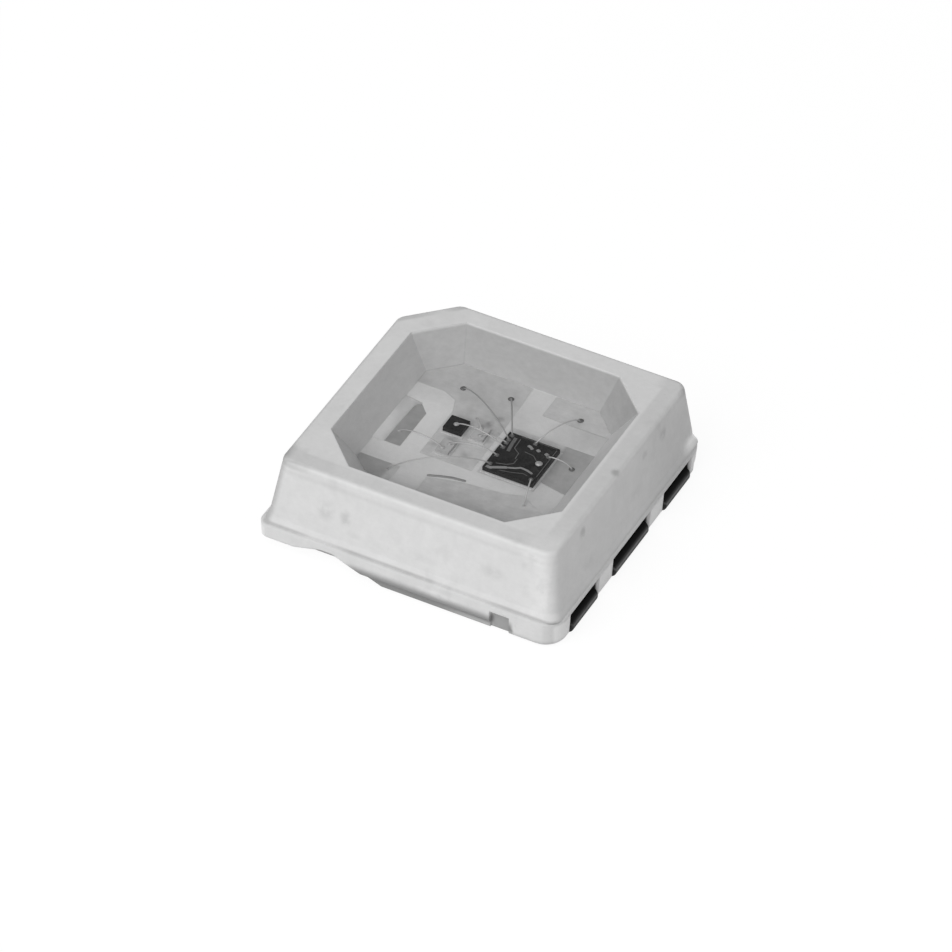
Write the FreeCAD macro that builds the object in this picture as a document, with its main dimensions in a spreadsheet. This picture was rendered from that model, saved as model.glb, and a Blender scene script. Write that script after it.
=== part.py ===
import FreeCAD, Part
import os
import Sketcher

# Surface-mount light emitter, 5.0 mm square, three leads on each side.
# Frame: origin at the middle of the footprint on the solder plane, z up.
# The +x wall and the -y wall are the two that face the camera in the picture.

os.makedirs("parts", exist_ok=True)
doc = FreeCAD.newDocument("smd_led")

# Sheet of sizes, millimetres

sheet = doc.addObject("Spreadsheet::Sheet", "Sizes")
SHEET_ROWS = [
    # alias, value, what it is
    ("parting_width", 5.0, "body width across the flange at the parting line"),
    ("shoulder_width", 4.85, "upper half just above the flange"),
    ("upper_draft", 7.9, "lean of the upper walls, degrees"),
    ("lower_draft", 3.0, "lean of the lower walls, degrees"),
    ("rim_height", 1.63, "top face above the solder plane"),
    ("parting_height", 0.49, "top of the flange"),
    ("base_height", 0.02, "plastic underside above the solder plane"),
    ("polarity_leg", 0.8, "leg of the chamfered back left corner"),
    ("corner_radius", 0.2, "vertical corners of the upper half"),
    ("flange_radius", 0.16, "front left and chamfer corners of the flange"),
    ("foot_radius", 0.35, "right corners of the flange and of the feet below it"),
    ("collar_width", 4.92, "foot of the upper walls where they flare to the flange"),
    ("collar_height", 0.14, "height of that flare"),
    ("collar_draft", 24.0, "lean of that flare, degrees"),
    ("rim_radius", 0.08, "outer edge of the top face"),
    ("lip_radius", 0.03, "upper edge of the flange"),
    ("base_radius", 0.08, "outer edge of the underside"),
    ("window_width", 3.84, "cavity across flats at the top"),
    ("window_leg", 0.63, "corner cut of the cavity at the top"),
    ("cavity_draft", 19.5, "lean of the cavity walls, degrees"),
    ("floor_height", 0.64, "cavity floor and top of the lead frame"),
    ("resin_drop", 0.03, "resin face below the rim"),
    ("strip_thick", 0.115, "lead frame strip"),
    ("riser_out", 1.86, "outer face of the step hidden in the wall"),
    ("pad_root", 1.61, "where the strip starts under the cavity wall"),
    ("exit_top", 0.29, "top of the strip where it leaves the body"),
    ("nose_beyond", 0.02, "how far a folded lead stands out past the flange"),
    ("nose_radius", 0.135, "outside radius of the fold"),
    ("slot_radius", 0.02, "inside radius of the fold"),
    ("step_radius", 0.09, "outside radius of the hidden step"),
    ("foot_end", 1.4, "inner end of a foot"),
    ("front_lead_y", -1.57, "middle of the front leads"),
    ("front_lead_width", 0.8, "width of the front leads"),
    ("mid_lead_y", 0.0, "middle of the middle leads"),
    ("mid_lead_width", 1.09, "width of the middle leads"),
    ("back_lead_y", 1.57, "middle of the back leads"),
    ("back_lead_width", 0.8, "width of the back leads"),
    ("recess_depth", 0.29, "depth of the recess round a lead, from the flange"),
    ("recess_top", 0.44, "ceiling of the recess round a lead"),
    ("recess_gap", 0.04, "side clearance of the recess"),
    ("mouth_flare", 0.05, "how far a recess opens out at the flange"),
    ("mouth_radius", 0.1, "rounding of the posts beside a recess"),
    ("foot_gap", 0.015, "clearance above and inside a foot"),
    ("notch_depth", 0.1, "how far the notches run in from the wall"),
    ("notch_top", 0.36, "top of the notches in the lower edge"),
    ("notch_from", 1.38, "square notch, inner side"),
    ("notch_to", 1.7, "square notch, outer side"),
    ("arch_from", -1.89, "where the raised corner starts to climb"),
    ("arch_crown_from", -1.44, "crown of the arch, outer side"),
    ("arch_crown_to", -1.24, "crown of the arch, inner side"),
    ("lip_from", -0.95, "where the middle lip starts"),
    ("arch_foot", -0.3, "where the arch meets the underside"),
    ("arch_height", 0.23, "underside of the raised corner"),
    ("arch_radius", 0.25, "rounding of the arch"),
    ("arch_depth", 0.33, "how far the arch runs in from the wall"),
    ("undercut_height", 0.16, "height of the step under the middle lip"),
    ("undercut_depth", 0.06, "depth of the step under the middle lip"),
    ("gate_radius", 0.41, "moulding gate dimple under the body"),
    ("gate_depth", 0.05, "depth of the gate dimple"),
    ("attach_thick", 0.02, "adhesive under each die"),
    ("attach_rim", 0.03, "adhesive beyond the die on each side"),
    ("driver_x", 0.64, "driver die, middle"),
    ("driver_y", -0.05, "driver die, middle"),
    ("driver_long", 0.84, "driver die along x"),
    ("driver_deep", 0.91, "driver die along y"),
    ("driver_thick", 0.155, "driver die height"),
    ("red_x", -0.56, "red emitter, middle"),
    ("red_y", 0.175, "red emitter, middle"),
    ("red_width", 0.31, "red emitter, side"),
    ("red_thick", 0.155, "red emitter height"),
    ("green_x", -0.165, "green emitter, middle"),
    ("green_y", 0.195, "green emitter, middle"),
    ("blue_x", -0.485, "blue emitter, middle"),
    ("blue_y", -0.32, "blue emitter, middle"),
    ("clear_long", 0.21, "green and blue emitters along x"),
    ("clear_deep", 0.29, "green and blue emitters along y"),
    ("clear_thick", 0.1, "green and blue emitters height"),
    ("wire_radius", 0.0125, "bond wire"),
    ("ball_radius", 0.035, "ball bond"),
    ("ball_height", 0.03, "ball and stitch height"),
    ("stitch_radius", 0.03, "stitch bond"),
    ("wire_lift", 0.018, "wire end above the surface it is bonded to"),
    ("half_sweep", 50.0, "half of the angle each wire loop turns through"),
]

# Plan shape of each inner pad, corner by corner. w marks a corner hidden under
# the cavity wall, p one that belongs to the pad seen in the floor.
PADS = {
    "lead_left_front": [("w", -1.72, -1.97), ("w", -1.45, -1.97), ("p", -1.31, -1.55),
                        ("p", -0.89, -1.55), ("p", -0.89, -1.02), ("p", -1.55, -1.02),
                        ("w", -1.72, -1.17)],
    "lead_left_mid": [("w", -1.72, -0.6), ("p", -1.11, -0.6), ("p", -1.11, 0.26),
                      ("p", -1.26, 0.42), ("p", -1.61, 0.42), ("w", -1.72, 0.52)],
    "lead_left_back": [("w", -1.72, 1.0), ("p", -1.59, 0.87), ("p", -1.11, 0.87),
                       ("p", -0.87, 0.76), ("p", -0.78, 0.5), ("p", -0.78, -0.58),
                       ("p", 0.08, -0.58), ("p", 0.08, 0.53), ("p", 0.03, 1.65),
                       ("p", -1.26, 1.65), ("w", -1.45, 1.97), ("w", -1.72, 1.97)],
    "lead_right_front": [("w", 1.72, -1.97), ("p", 1.26, -1.65), ("p", -0.43, -1.65),
                         ("p", -0.43, -1.03), ("p", 0.1, -0.88), ("p", 0.73, -0.81),
                         ("p", 1.02, -0.71), ("p", 1.45, -0.97), ("w", 1.72, -1.1)],
    "lead_right_mid": [("w", 1.72, -0.52), ("p", 1.57, -0.41), ("p", 1.1, -0.31),
                       ("p", 1.1, -0.56), ("p", 0.17, -0.56), ("p", 0.17, 0.6),
                       ("w", 1.72, 0.6)],
    "lead_right_back": [("w", 1.72, 1.17), ("p", 1.55, 1.07), ("p", 0.44, 1.07),
                        ("p", 0.44, 1.65), ("p", 1.26, 1.65), ("w", 1.45, 1.97),
                        ("w", 1.72, 1.97)],
}

# Each wire: ball on a die, then the landing point and what it lands on.
WIRES = {
    "wire_driver_left_back": ("driver", 0.29, 0.34, "floor", -0.15, 1.18),
    "wire_driver_right_back": ("driver", 0.68, 0.34, "floor", 0.99, 1.24),
    "wire_driver_back_corner": ("driver", 0.29, 0.23, "floor", -0.89, 1.05),
    "wire_driver_right_front": ("driver", 0.99, -0.42, "floor", 1.13, -0.92),
    "wire_driver_right_mid": ("driver", 0.99, 0.16, "floor", 1.38, 0.17),
    "wire_driver_red": ("driver", 0.29, 0.04, "red", -0.56, 0.17),
    "wire_driver_green": ("driver", 0.29, 0.15, "clear", -0.14, 0.14),
    "wire_green_left_back": ("clear", -0.2, 0.28, "floor", -0.39, 0.52),
    "wire_driver_blue": ("driver", 0.29, -0.17, "clear", -0.45, -0.26),
    "wire_blue_left_mid": ("clear", -0.51, -0.39, "floor", -1.28, -0.29),
    "wire_driver_left_front": ("driver", 0.29, -0.39, "floor", -1.03, -1.18),
}

row = 0


def put(alias, content, note):
    """Write one named row of the sheet."""
    global row
    row += 1
    sheet.set("A%d" % row, note)
    sheet.set("B%d" % row, str(content))
    sheet.setAlias("B%d" % row, alias)


for alias, value, note in SHEET_ROWS:
    put(alias, value, note)
for pad_name, corners in PADS.items():
    for index, (side, px, py) in enumerate(corners):
        put("%s_px_%s" % (pad_name, "abcdefghijklm"[index]), px, "pad corner, x")
        put("%s_py_%s" % (pad_name, "abcdefghijklm"[index]), py, "pad corner, y")

# Heights and lengths that follow from the sizes above
put("die_base", "=floor_height + attach_thick", "underside of every die")
put("top_driver", "=die_base + driver_thick", "top of the driver die")
put("top_red", "=die_base + red_thick", "top of the red emitter")
put("top_clear", "=die_base + clear_thick", "top of the green and blue emitters")
put("top_floor", "=floor_height", "top of the pads")
put("exit_bottom", "=exit_top - strip_thick", "underside of the strip at the exit")
put("nose_out", "=parting_width / 2 + nose_beyond", "outermost face of a folded lead")
put("recess_back", "=parting_width / 2 - recess_depth", "back wall of the recess round a lead")
put("resin_top", "=rim_height - resin_drop", "resin face")
for wire_name, (start, ax, ay, end, bx, by) in WIRES.items():
    key = wire_name
    put(key + "_ax", ax, "ball, x")
    put(key + "_ay", ay, "ball, y")
    put(key + "_bx", bx, "landing, x")
    put(key + "_by", by, "landing, y")
    put(key + "_run", "=sqrt((%s_bx - %s_ax)^2 + (%s_by - %s_ay)^2)" % (key, key, key, key),
        "length in plan")
    put(key + "_drop", "=top_%s - top_%s" % (start, end), "height lost along the wire")
    put(key + "_chord", "=sqrt(%s_run^2 + %s_drop^2)" % (key, key), "straight distance")
    put(key + "_bend", "=%s_chord / 2 / sin(half_sweep * 1deg)" % key, "loop radius")
doc.recompute()


def bind(obj, **links):
    """Bind properties of an object to expressions on the sheet."""
    for prop, text in links.items():
        obj.setExpression(prop.replace("__", "."), text)


def on_sheet(text):
    """Prefix a plain alias with the sheet's name."""
    return "Sizes." + text


def plane_of(body, role):
    """The origin plane of a body, found by its role."""
    for feature in body.Origin.OriginFeatures:
        if feature.Role == role:
            return feature
    raise RuntimeError("no plane " + role)


def outline(body, name, role, corners, offset):
    """Closed sketch through corners, each coordinate bound to an expression."""
    sketch = body.newObject("Sketcher::SketchObject", name)
    sketch.AttachmentSupport = [(plane_of(body, role), "")]
    sketch.MapMode = "FlatFace"
    sketch.setExpression("AttachmentOffset.Base.z", offset)
    values = []
    for horizontal, vertical in corners:
        values.append((float(sketch.evalExpression(horizontal)),
                       float(sketch.evalExpression(vertical))))
    count = len(values)
    for index in range(count):
        here, there = values[index], values[(index + 1) % count]
        sketch.addGeometry(Part.LineSegment(FreeCAD.Vector(here[0], here[1], 0),
                                            FreeCAD.Vector(there[0], there[1], 0)), False)
    for index in range(count):
        sketch.addConstraint(Sketcher.Constraint("Coincident", index, 2,
                                                 (index + 1) % count, 1))
    for index, (horizontal, vertical) in enumerate(corners):
        for kind, text, value in (("DistanceX", horizontal, values[index][0]),
                                  ("DistanceY", vertical, values[index][1])):
            number = sketch.addConstraint(Sketcher.Constraint(kind, -1, 1, index, 1, value))
            sketch.setExpression("Constraints[%d]" % number, text)
    return sketch


def square(width, legs):
    """Corners of a square about the origin with cut corners.

    legs maps a corner (sign x, sign y) to the expression of its cut."""
    half = "(%s / 2)" % width
    corners = []
    for sx, sy, first in ((1, 1, "x"), (-1, 1, "y"), (-1, -1, "x"), (1, -1, "y")):
        leg = legs.get((sx, sy))
        full = ("%d * %s" % (sx, half), "%d * %s" % (sy, half))
        if leg is None:
            corners.append(full)
            continue
        cut_x = ("%d * (%s - %s)" % (sx, half, leg), full[1])
        cut_y = (full[0], "%d * (%s - %s)" % (sy, half, leg))
        corners += [cut_y, cut_x] if first == "x" else [cut_x, cut_y]
    return corners


def drafted(body, name, plan, length, angle, down, wider):
    """Prism on a sketch whose walls lean by an angle away from the sketch.

    down sends the prism below its sketch; wider makes it grow on the way."""
    prism = body.newObject("PartDesign::Pad", name + "_prism")
    prism.Profile = plan
    prism.Reversed = down
    bind(prism, Length=length)
    body.Tip = prism
    doc.recompute()
    level = plan.Placement.Base.z
    walls, start = [], ""
    for index, face in enumerate(prism.Shape.Faces):
        normal = face.normalAt(0, 0)
        if abs(normal.z) < 0.01:
            walls.append("Face%d" % (index + 1))
        elif abs(face.CenterOfMass.z - level) < 0.001:
            start = "Face%d" % (index + 1)
    lean = body.newObject("PartDesign::Draft", name + "_walls")
    lean.Base = (prism, walls)
    lean.NeutralPlane = (prism, [start])
    bind(lean, Angle=angle)
    body.Tip = lean
    doc.recompute()
    if (lean.Shape.Volume > prism.Shape.Volume) != wider:
        lean.Reversed = True
        doc.recompute()
    if (lean.Shape.Volume > prism.Shape.Volume) != wider:
        raise RuntimeError("draft leans the wrong way: " + name)
    return lean


def new_body(name):
    """Empty body with a label."""
    body = doc.addObject("PartDesign::Body", name)
    body.Label = name
    return body


def edges_where(shape, test):
    """Names of the straight edges whose two ends pass the test."""
    found = []
    for index, edge in enumerate(shape.Edges):
        if len(edge.Vertexes) == 2 and test(edge.Vertexes[0].Point, edge.Vertexes[1].Point):
            found.append("Edge%d" % (index + 1))
    return found


def edges_at(shape, height):
    """Names of the edges, straight or curved, that lie at one height."""
    return ["Edge%d" % (index + 1) for index, edge in enumerate(shape.Edges)
            if all(abs(v.Point.z - height) < 0.001 for v in edge.Vertexes)]


def cut_block(name, x_from, x_to, y_from, y_to, z_from, z_to):
    """Box between expressions, used as a cutting tool."""
    block = doc.addObject("Part::Box", name)
    block.setExpression("Placement.Base.x", x_from)
    block.setExpression("Placement.Base.y", y_from)
    block.setExpression("Placement.Base.z", z_from)
    block.setExpression("Length", "(%s) - (%s)" % (x_to, x_from))
    block.setExpression("Width", "(%s) - (%s)" % (y_to, y_from))
    block.setExpression("Height", "(%s) - (%s)" % (z_to, z_from))
    return block


# Upper half: drafted walls, one chamfered corner, rounded vertical corners and rim

upper = new_body("upper_half")
shoulder = outline(upper, "shoulder_plan", "XY_Plane",
                   square("Sizes.shoulder_width", {(-1, 1): "Sizes.polarity_leg"}),
                   "Sizes.parting_height")
upper_walls = drafted(upper, "upper", shoulder, "Sizes.rim_height - Sizes.parting_height",
                      "Sizes.upper_draft * 1deg", False, False)


def rounded(body, name, base, edges, radius):
    """Fillet the named edges of a feature."""
    feature = body.newObject("PartDesign::Fillet", name)
    feature.Base = (base, edges)
    bind(feature, Radius=radius)
    body.Tip = feature
    doc.recompute()
    return feature


TALL = 0.5 * (sheet.rim_height - sheet.parting_height)
upper_corners = rounded(upper, "corner_rounds", upper_walls,
                        edges_where(upper_walls.Shape, lambda a, b: abs(a.z - b.z) > TALL),
                        "Sizes.corner_radius")
rounded(upper, "rim_round", upper_corners,
        edges_at(upper_corners.Shape, sheet.rim_height), "Sizes.rim_radius")

# Collar: the foot of the upper walls, which flares out towards the flange

collar = new_body("collar")
collar_foot = outline(collar, "collar_plan", "XY_Plane",
                      square("Sizes.collar_width", {(-1, 1): "Sizes.polarity_leg"}),
                      "Sizes.parting_height")
collar_walls = drafted(collar, "collar", collar_foot, "Sizes.collar_height",
                       "Sizes.collar_draft * 1deg", False, False)
rounded(collar, "collar_rounds", collar_walls,
        edges_where(collar_walls.Shape,
                    lambda a, b: abs(a.z - b.z) > 0.5 * sheet.collar_height),
        "Sizes.corner_radius")

# Lower half: a flange at the parting line that tapers in towards the underside

lower = new_body("lower_half")
flange = outline(lower, "flange_plan", "XY_Plane",
                 square("Sizes.parting_width", {(-1, 1): "Sizes.polarity_leg"}),
                 "Sizes.parting_height")
lower_walls = drafted(lower, "lower", flange, "Sizes.parting_height - Sizes.base_height",
                      "Sizes.lower_draft * 1deg", True, False)
LOW = 0.5 * (sheet.parting_height - sheet.base_height)
flange_left = rounded(lower, "flange_left_rounds", lower_walls,
                      edges_where(lower_walls.Shape,
                                  lambda a, b: abs(a.z - b.z) > LOW and a.x < 0),
                      "Sizes.flange_radius")
flange_corners = rounded(lower, "flange_right_rounds", flange_left,
                         edges_where(flange_left.Shape,
                                     lambda a, b: abs(a.z - b.z) > LOW and a.x > 0),
                         "Sizes.foot_radius")
base_edge = rounded(lower, "base_round", flange_corners,
                    edges_at(flange_corners.Shape, sheet.base_height), "Sizes.base_radius")
rounded(lower, "lip_round", base_edge,
        edges_at(base_edge.Shape, sheet.parting_height), "Sizes.lip_radius")

# The form that leaves the cavity: eight sloping walls down to the floor

ALL_CORNERS = [(1, 1), (-1, 1), (-1, -1), (1, -1)]
cavity = new_body("cavity_form")
window = outline(cavity, "window_plan", "XY_Plane",
                 square("Sizes.window_width", {c: "Sizes.window_leg" for c in ALL_CORNERS}),
                 "Sizes.rim_height")
drafted(cavity, "cavity", window, "Sizes.rim_height - Sizes.floor_height",
        "Sizes.cavity_draft * 1deg", True, False)

# Lead frame: a pad in the floor, a step down inside the wall, a tight fold, a foot

# Middle and width of each lead; the left side is the right side turned half a turn
PLACES = {
    "right_front": (1, "Sizes.front_lead_y", "Sizes.front_lead_width"),
    "right_mid": (1, "Sizes.mid_lead_y", "Sizes.mid_lead_width"),
    "right_back": (1, "Sizes.back_lead_y", "Sizes.back_lead_width"),
    "left_front": (-1, "(-1 * Sizes.back_lead_y)", "Sizes.back_lead_width"),
    "left_mid": (-1, "(-1 * Sizes.mid_lead_y)", "Sizes.mid_lead_width"),
    "left_back": (-1, "(-1 * Sizes.front_lead_y)", "Sizes.front_lead_width"),
}
leads = []
for pad_name, corners in PADS.items():
    sign, middle, width = PLACES[pad_name.replace("lead_", "")]
    body = new_body(pad_name)
    letters = "abcdefghijklm"[:len(corners)]
    plan = outline(body, pad_name + "_plan", "XY_Plane",
                   [(on_sheet("%s_px_%s" % (pad_name, k)), on_sheet("%s_py_%s" % (pad_name, k)))
                    for k in letters], "Sizes.floor_height - Sizes.strip_thick")
    plate = body.newObject("PartDesign::Pad", pad_name + "_plate")
    plate.Profile = plan
    bind(plate, Length="Sizes.strip_thick")
    body.Tip = plate
    profile_points = [("pad_root", "floor_height"), ("riser_out", "floor_height"),
                      ("riser_out", "exit_top"), ("nose_out", "exit_top"),
                      ("nose_out", None), ("foot_end", None),
                      ("foot_end", "strip_thick"), ("nose_out - Sizes.strip_thick", "strip_thick"),
                      ("nose_out - Sizes.strip_thick", "exit_bottom"),
                      ("riser_out - Sizes.strip_thick", "exit_bottom"),
                      ("riser_out - Sizes.strip_thick", "floor_height - Sizes.strip_thick"),
                      ("pad_root", "floor_height - Sizes.strip_thick")]
    profile = outline(body, pad_name + "_profile", "XZ_Plane",
                      [("%d * (Sizes.%s)" % (sign, u), "Sizes." + v if v else "0 * 1.0")
                       for u, v in profile_points], "-1 * " + middle)
    strip = body.newObject("PartDesign::Pad", pad_name + "_strip")
    strip.Profile = profile
    strip.Midplane = True
    bind(strip, Length=width)
    body.Tip = strip
    doc.recompute()

    def bend_edges(shape, spots):
        """Edges across the strip that stand at the given profile points."""
        def across(a, b):
            if abs(a.y - b.y) < 0.3 or abs(a.x - b.x) > 0.001 or abs(a.z - b.z) > 0.001:
                return False
            return any(abs(a.x - sign * u) < 0.002 and abs(a.z - z) < 0.002 for u, z in spots)
        return edges_where(shape, across)

    thick, out, top = sheet.strip_thick, sheet.nose_out, sheet.exit_top
    riser = sheet.riser_out
    nose = body.newObject("PartDesign::Fillet", pad_name + "_fold")
    nose.Base = (strip, bend_edges(strip.Shape, [(out, top), (out, 0.0)]))
    bind(nose, Radius="Sizes.nose_radius")
    body.Tip = nose
    doc.recompute()
    slot = body.newObject("PartDesign::Fillet", pad_name + "_fold_inside")
    slot.Base = (nose, bend_edges(nose.Shape, [(out - thick, thick), (out - thick, top - thick),
                                               (riser, top), (riser - thick,
                                                              sheet.floor_height - thick)]))
    bind(slot, Radius="Sizes.slot_radius")
    body.Tip = slot
    doc.recompute()
    step = body.newObject("PartDesign::Fillet", pad_name + "_step_rounds")
    step.Base = (slot, bend_edges(slot.Shape, [(riser, sheet.floor_height),
                                               (riser - thick, top - thick)]))
    bind(step, Radius="Sizes.step_radius")
    body.Tip = step
    doc.recompute()
    leads.append(body)

# Cutting tools for the lower half

tools = []
for place, (sign, middle, width) in PLACES.items():
    y_from = "(%s - %s / 2 - Sizes.recess_gap)" % (middle, width)
    y_to = "(%s + %s / 2 + Sizes.recess_gap)" % (middle, width)
    outer = "%d * Sizes.parting_width" % sign
    inner = "%d * (Sizes.foot_end - Sizes.foot_gap)" % sign
    low_x, high_x = (inner, outer) if sign > 0 else (outer, inner)
    tools.append(cut_block("foot_room_" + place, low_x, high_x, y_from, y_to,
                           "-1 * Sizes.base_height", "Sizes.strip_thick + Sizes.foot_gap"))
    # the recess opens out at the flange, which leaves rounded posts beside the lead
    back = "%d * Sizes.recess_back" % sign
    throat = "%d * (Sizes.parting_width / 2 - Sizes.mouth_flare)" % sign
    mouth = "%d * (Sizes.parting_width / 2 + Sizes.mouth_flare)" % sign
    body = new_body("recess_" + place)
    plan = outline(body, "recess_plan_" + place, "XY_Plane",
                   [(back, y_from), (throat, y_from),
                    (mouth, y_from + " - 2 * Sizes.mouth_flare"),
                    (mouth, y_to + " + 2 * Sizes.mouth_flare"),
                    (throat, y_to), (back, y_to)], "-1 * Sizes.base_height")
    room = body.newObject("PartDesign::Pad", "recess_room_" + place)
    room.Profile = plan
    bind(room, Length="Sizes.recess_top + Sizes.base_height")
    body.Tip = room
    doc.recompute()
    neck = sheet.parting_width / 2 - sheet.mouth_flare
    rounded(body, "recess_mouth_" + place, room,
            edges_where(room.Shape, lambda a, b: abs(a.z - b.z) > LOW
                        and abs(abs(a.x) - neck) < 0.001), "Sizes.mouth_radius")
    tools.append(body)

# The front wall's lower edge; the back wall carries it turned half a turn
for wall_name, wall in (("front", -1), ("back", 1)):
    face = "%d * Sizes.parting_width" % wall
    turn = "%d * " % (-wall)
    spans = {"notch": ("Sizes.notch_from", "Sizes.notch_to", "Sizes.notch_depth",
                       "Sizes.notch_top"),
             "undercut": ("Sizes.lip_from", "Sizes.notch_from", "Sizes.undercut_depth",
                          "Sizes.undercut_height")}
    for cut_name, (a, b, depth, ceiling) in spans.items():
        deep = "%d * (Sizes.parting_width / 2 - %s)" % (wall, depth)
        low_y, high_y = (face, deep) if wall < 0 else (deep, face)
        low_x, high_x = (a, b) if wall < 0 else (turn + b, turn + a)
        tools.append(cut_block("%s_%s" % (cut_name, wall_name), low_x, high_x,
                               low_y, high_y, "-1 * Sizes.base_height", ceiling))
    body = new_body("arch_form_" + wall_name)
    arch_points = [("(-1 * Sizes.parting_width)", "(-1 * Sizes.base_height)"),
                   ("Sizes.arch_foot", "(-1 * Sizes.base_height)"),
                   ("Sizes.lip_from", "Sizes.arch_height"),
                   ("Sizes.arch_crown_to", "Sizes.notch_top"),
                   ("Sizes.arch_crown_from", "Sizes.notch_top"),
                   ("Sizes.arch_from", "Sizes.arch_height"),
                   ("(-1 * Sizes.parting_width)", "Sizes.arch_height")]
    arch_plan = outline(body, "arch_plan_" + wall_name, "XZ_Plane",
                        [(turn + u, "1 * " + v) for u, v in arch_points],
                        turn + "(Sizes.parting_width / 2 - Sizes.arch_depth)")
    arch = body.newObject("PartDesign::Pad", "arch_block_" + wall_name)
    arch.Profile = arch_plan
    arch.Reversed = wall > 0
    bind(arch, Length="Sizes.parting_width")
    body.Tip = arch
    doc.recompute()
    bends = [sheet.lip_from, sheet.arch_crown_to, sheet.arch_crown_from, sheet.arch_from]
    rounded(body, "arch_rounds_" + wall_name, arch,
            edges_where(arch.Shape, lambda a, b: abs(a.y - b.y) > LOW
                        and any(abs(-wall * a.x - bend) < 0.001 for bend in bends)),
            "Sizes.arch_radius")
    tools.append(body)

gate = doc.addObject("Part::Cylinder", "gate_dimple")
bind(gate, Radius="Sizes.gate_radius", Height="Sizes.gate_depth + Sizes.base_height")
tools.append(gate)
doc.recompute()


def fuse(name, parts):
    """One solid out of several."""
    joined = doc.addObject("Part::MultiFuse", name)
    joined.Shapes = parts
    return joined


def cut(name, base, tool):
    """Base less tool."""
    result = doc.addObject("Part::Cut", name)
    result.Base = base
    result.Tool = tool
    return result


# Housing: both halves, less the cavity, the moulded pockets and the lead frame

blank = fuse("housing_blank", [upper, collar, lower])
opened = cut("housing_opened", blank, cavity)
pocketed = cut("housing_pocketed", opened, fuse("pocket_tools", tools))
housing = cut("housing", pocketed, fuse("lead_frame", leads))
housing.Label = "housing"
housing.Refine = True
doc.recompute()

# Dies with the adhesive under each

DIES = {
    "driver": ("driver_x", "driver_y", "driver_long", "driver_deep", "driver_thick"),
    "red": ("red_x", "red_y", "red_width", "red_width", "red_thick"),
    "green": ("green_x", "green_y", "clear_long", "clear_deep", "clear_thick"),
    "blue": ("blue_x", "blue_y", "clear_long", "clear_deep", "clear_thick"),
}
inner = []
for die_name, (mx, my, along, deep, thick) in DIES.items():
    for label, rim, low, high in (
            (die_name + "_attach", "Sizes.attach_rim", "Sizes.floor_height", "Sizes.die_base"),
            (die_name + "_die", "0 * Sizes.attach_rim", "Sizes.die_base",
             "Sizes.die_base + Sizes." + thick)):
        block = cut_block(label,
                          "Sizes.%s - Sizes.%s / 2 - %s" % (mx, along, rim),
                          "Sizes.%s + Sizes.%s / 2 + %s" % (mx, along, rim),
                          "Sizes.%s - Sizes.%s / 2 - %s" % (my, deep, rim),
                          "Sizes.%s + Sizes.%s / 2 + %s" % (my, deep, rim), low, high)
        block.Label = label
        inner.append(block)

# Bond wires: a ball, an arc of six-sided wire and a stitch

HEX = (("1", "0"), ("1 / 2", "sqrt(3) / 2"), ("-1 / 2", "sqrt(3) / 2"),
       ("-1", "0"), ("-1 / 2", "-1 * sqrt(3) / 2"), ("1 / 2", "-1 * sqrt(3) / 2"))


def bond(name, x, y, z, radius):
    """Low eight-sided block for the ball or the stitch of a wire."""
    block = doc.addObject("Part::Prism", name)
    block.Polygon = 8
    bind(block, Circumradius=radius, Height="Sizes.ball_height",
         Placement__Base__x=x, Placement__Base__y=y, Placement__Base__z=z)
    return block


wires = []
for wire_name, (start, ax, ay, end, bx, by) in WIRES.items():
    key = on_sheet(wire_name)
    heading = "atan2(%s_by - %s_ay; %s_bx - %s_ax)" % (key, key, key, key)
    lean = "atan2(%s_drop; %s_run)" % (key, key)
    # in the upright plane of the wire: middle of the chord, less the sagitta side
    sink = "%s_bend * cos(Sizes.half_sweep * 1deg)" % key
    flat = "(%s_run / 2 - %s * sin(%s))" % (key, sink, lean)
    arc = new_body(wire_name + "_loop")
    bind(arc,
         Placement__Base__x="%s_ax + %s * cos(%s)" % (key, flat, heading),
         Placement__Base__y="%s_ay + %s * sin(%s)" % (key, flat, heading),
         Placement__Base__z="Sizes.top_%s + Sizes.wire_lift - %s_drop / 2 - %s * cos(%s)"
                            % (start, key, sink, lean),
         Placement__Rotation="rotation(%s; %s - 90deg + Sizes.half_sweep * 1deg; 90deg)"
                             % (heading, lean))
    section = outline(arc, wire_name + "_section", "XZ_Plane",
                      [("%s_bend + Sizes.wire_radius * (%s)" % (key, u),
                        "Sizes.wire_radius * (%s)" % v) for u, v in HEX], "0 * Sizes.wire_radius")
    turn = arc.newObject("PartDesign::Revolution", wire_name + "_turn")
    turn.Profile = section
    turn.ReferenceAxis = (section, ["V_Axis"])
    bind(turn, Angle="2 * Sizes.half_sweep * 1deg")
    arc.Tip = turn
    doc.recompute()
    ends_up = turn.Shape.CenterOfMass.y > 0
    if not ends_up:
        turn.Reversed = True
    ball = bond(wire_name + "_ball", key + "_ax", key + "_ay", "Sizes.top_" + start,
                "Sizes.ball_radius")
    stitch = bond(wire_name + "_stitch", key + "_bx", key + "_by", "Sizes.top_" + end,
                  "Sizes.stitch_radius")
    wire = fuse(wire_name, [arc, ball, stitch])
    wire.Label = wire_name
    wires.append(wire)
doc.recompute()

# Clear resin: the cavity up to its face, less everything that is cast into it

resin_block = doc.addObject("Part::Box", "resin_block")
bind(resin_block, Length="Sizes.parting_width", Width="Sizes.parting_width",
     Height="Sizes.resin_top", Placement__Base__x="-1 * Sizes.parting_width / 2",
     Placement__Base__y="-1 * Sizes.parting_width / 2")
resin_blank = doc.addObject("Part::Common", "resin_blank")
resin_blank.Base = cavity
resin_blank.Tool = resin_block
resin = cut("resin_fill", resin_blank, fuse("cast_in", inner + wires))
resin.Label = "resin_fill"
doc.recompute()

# Check every object, then write one file for each piece

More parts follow.
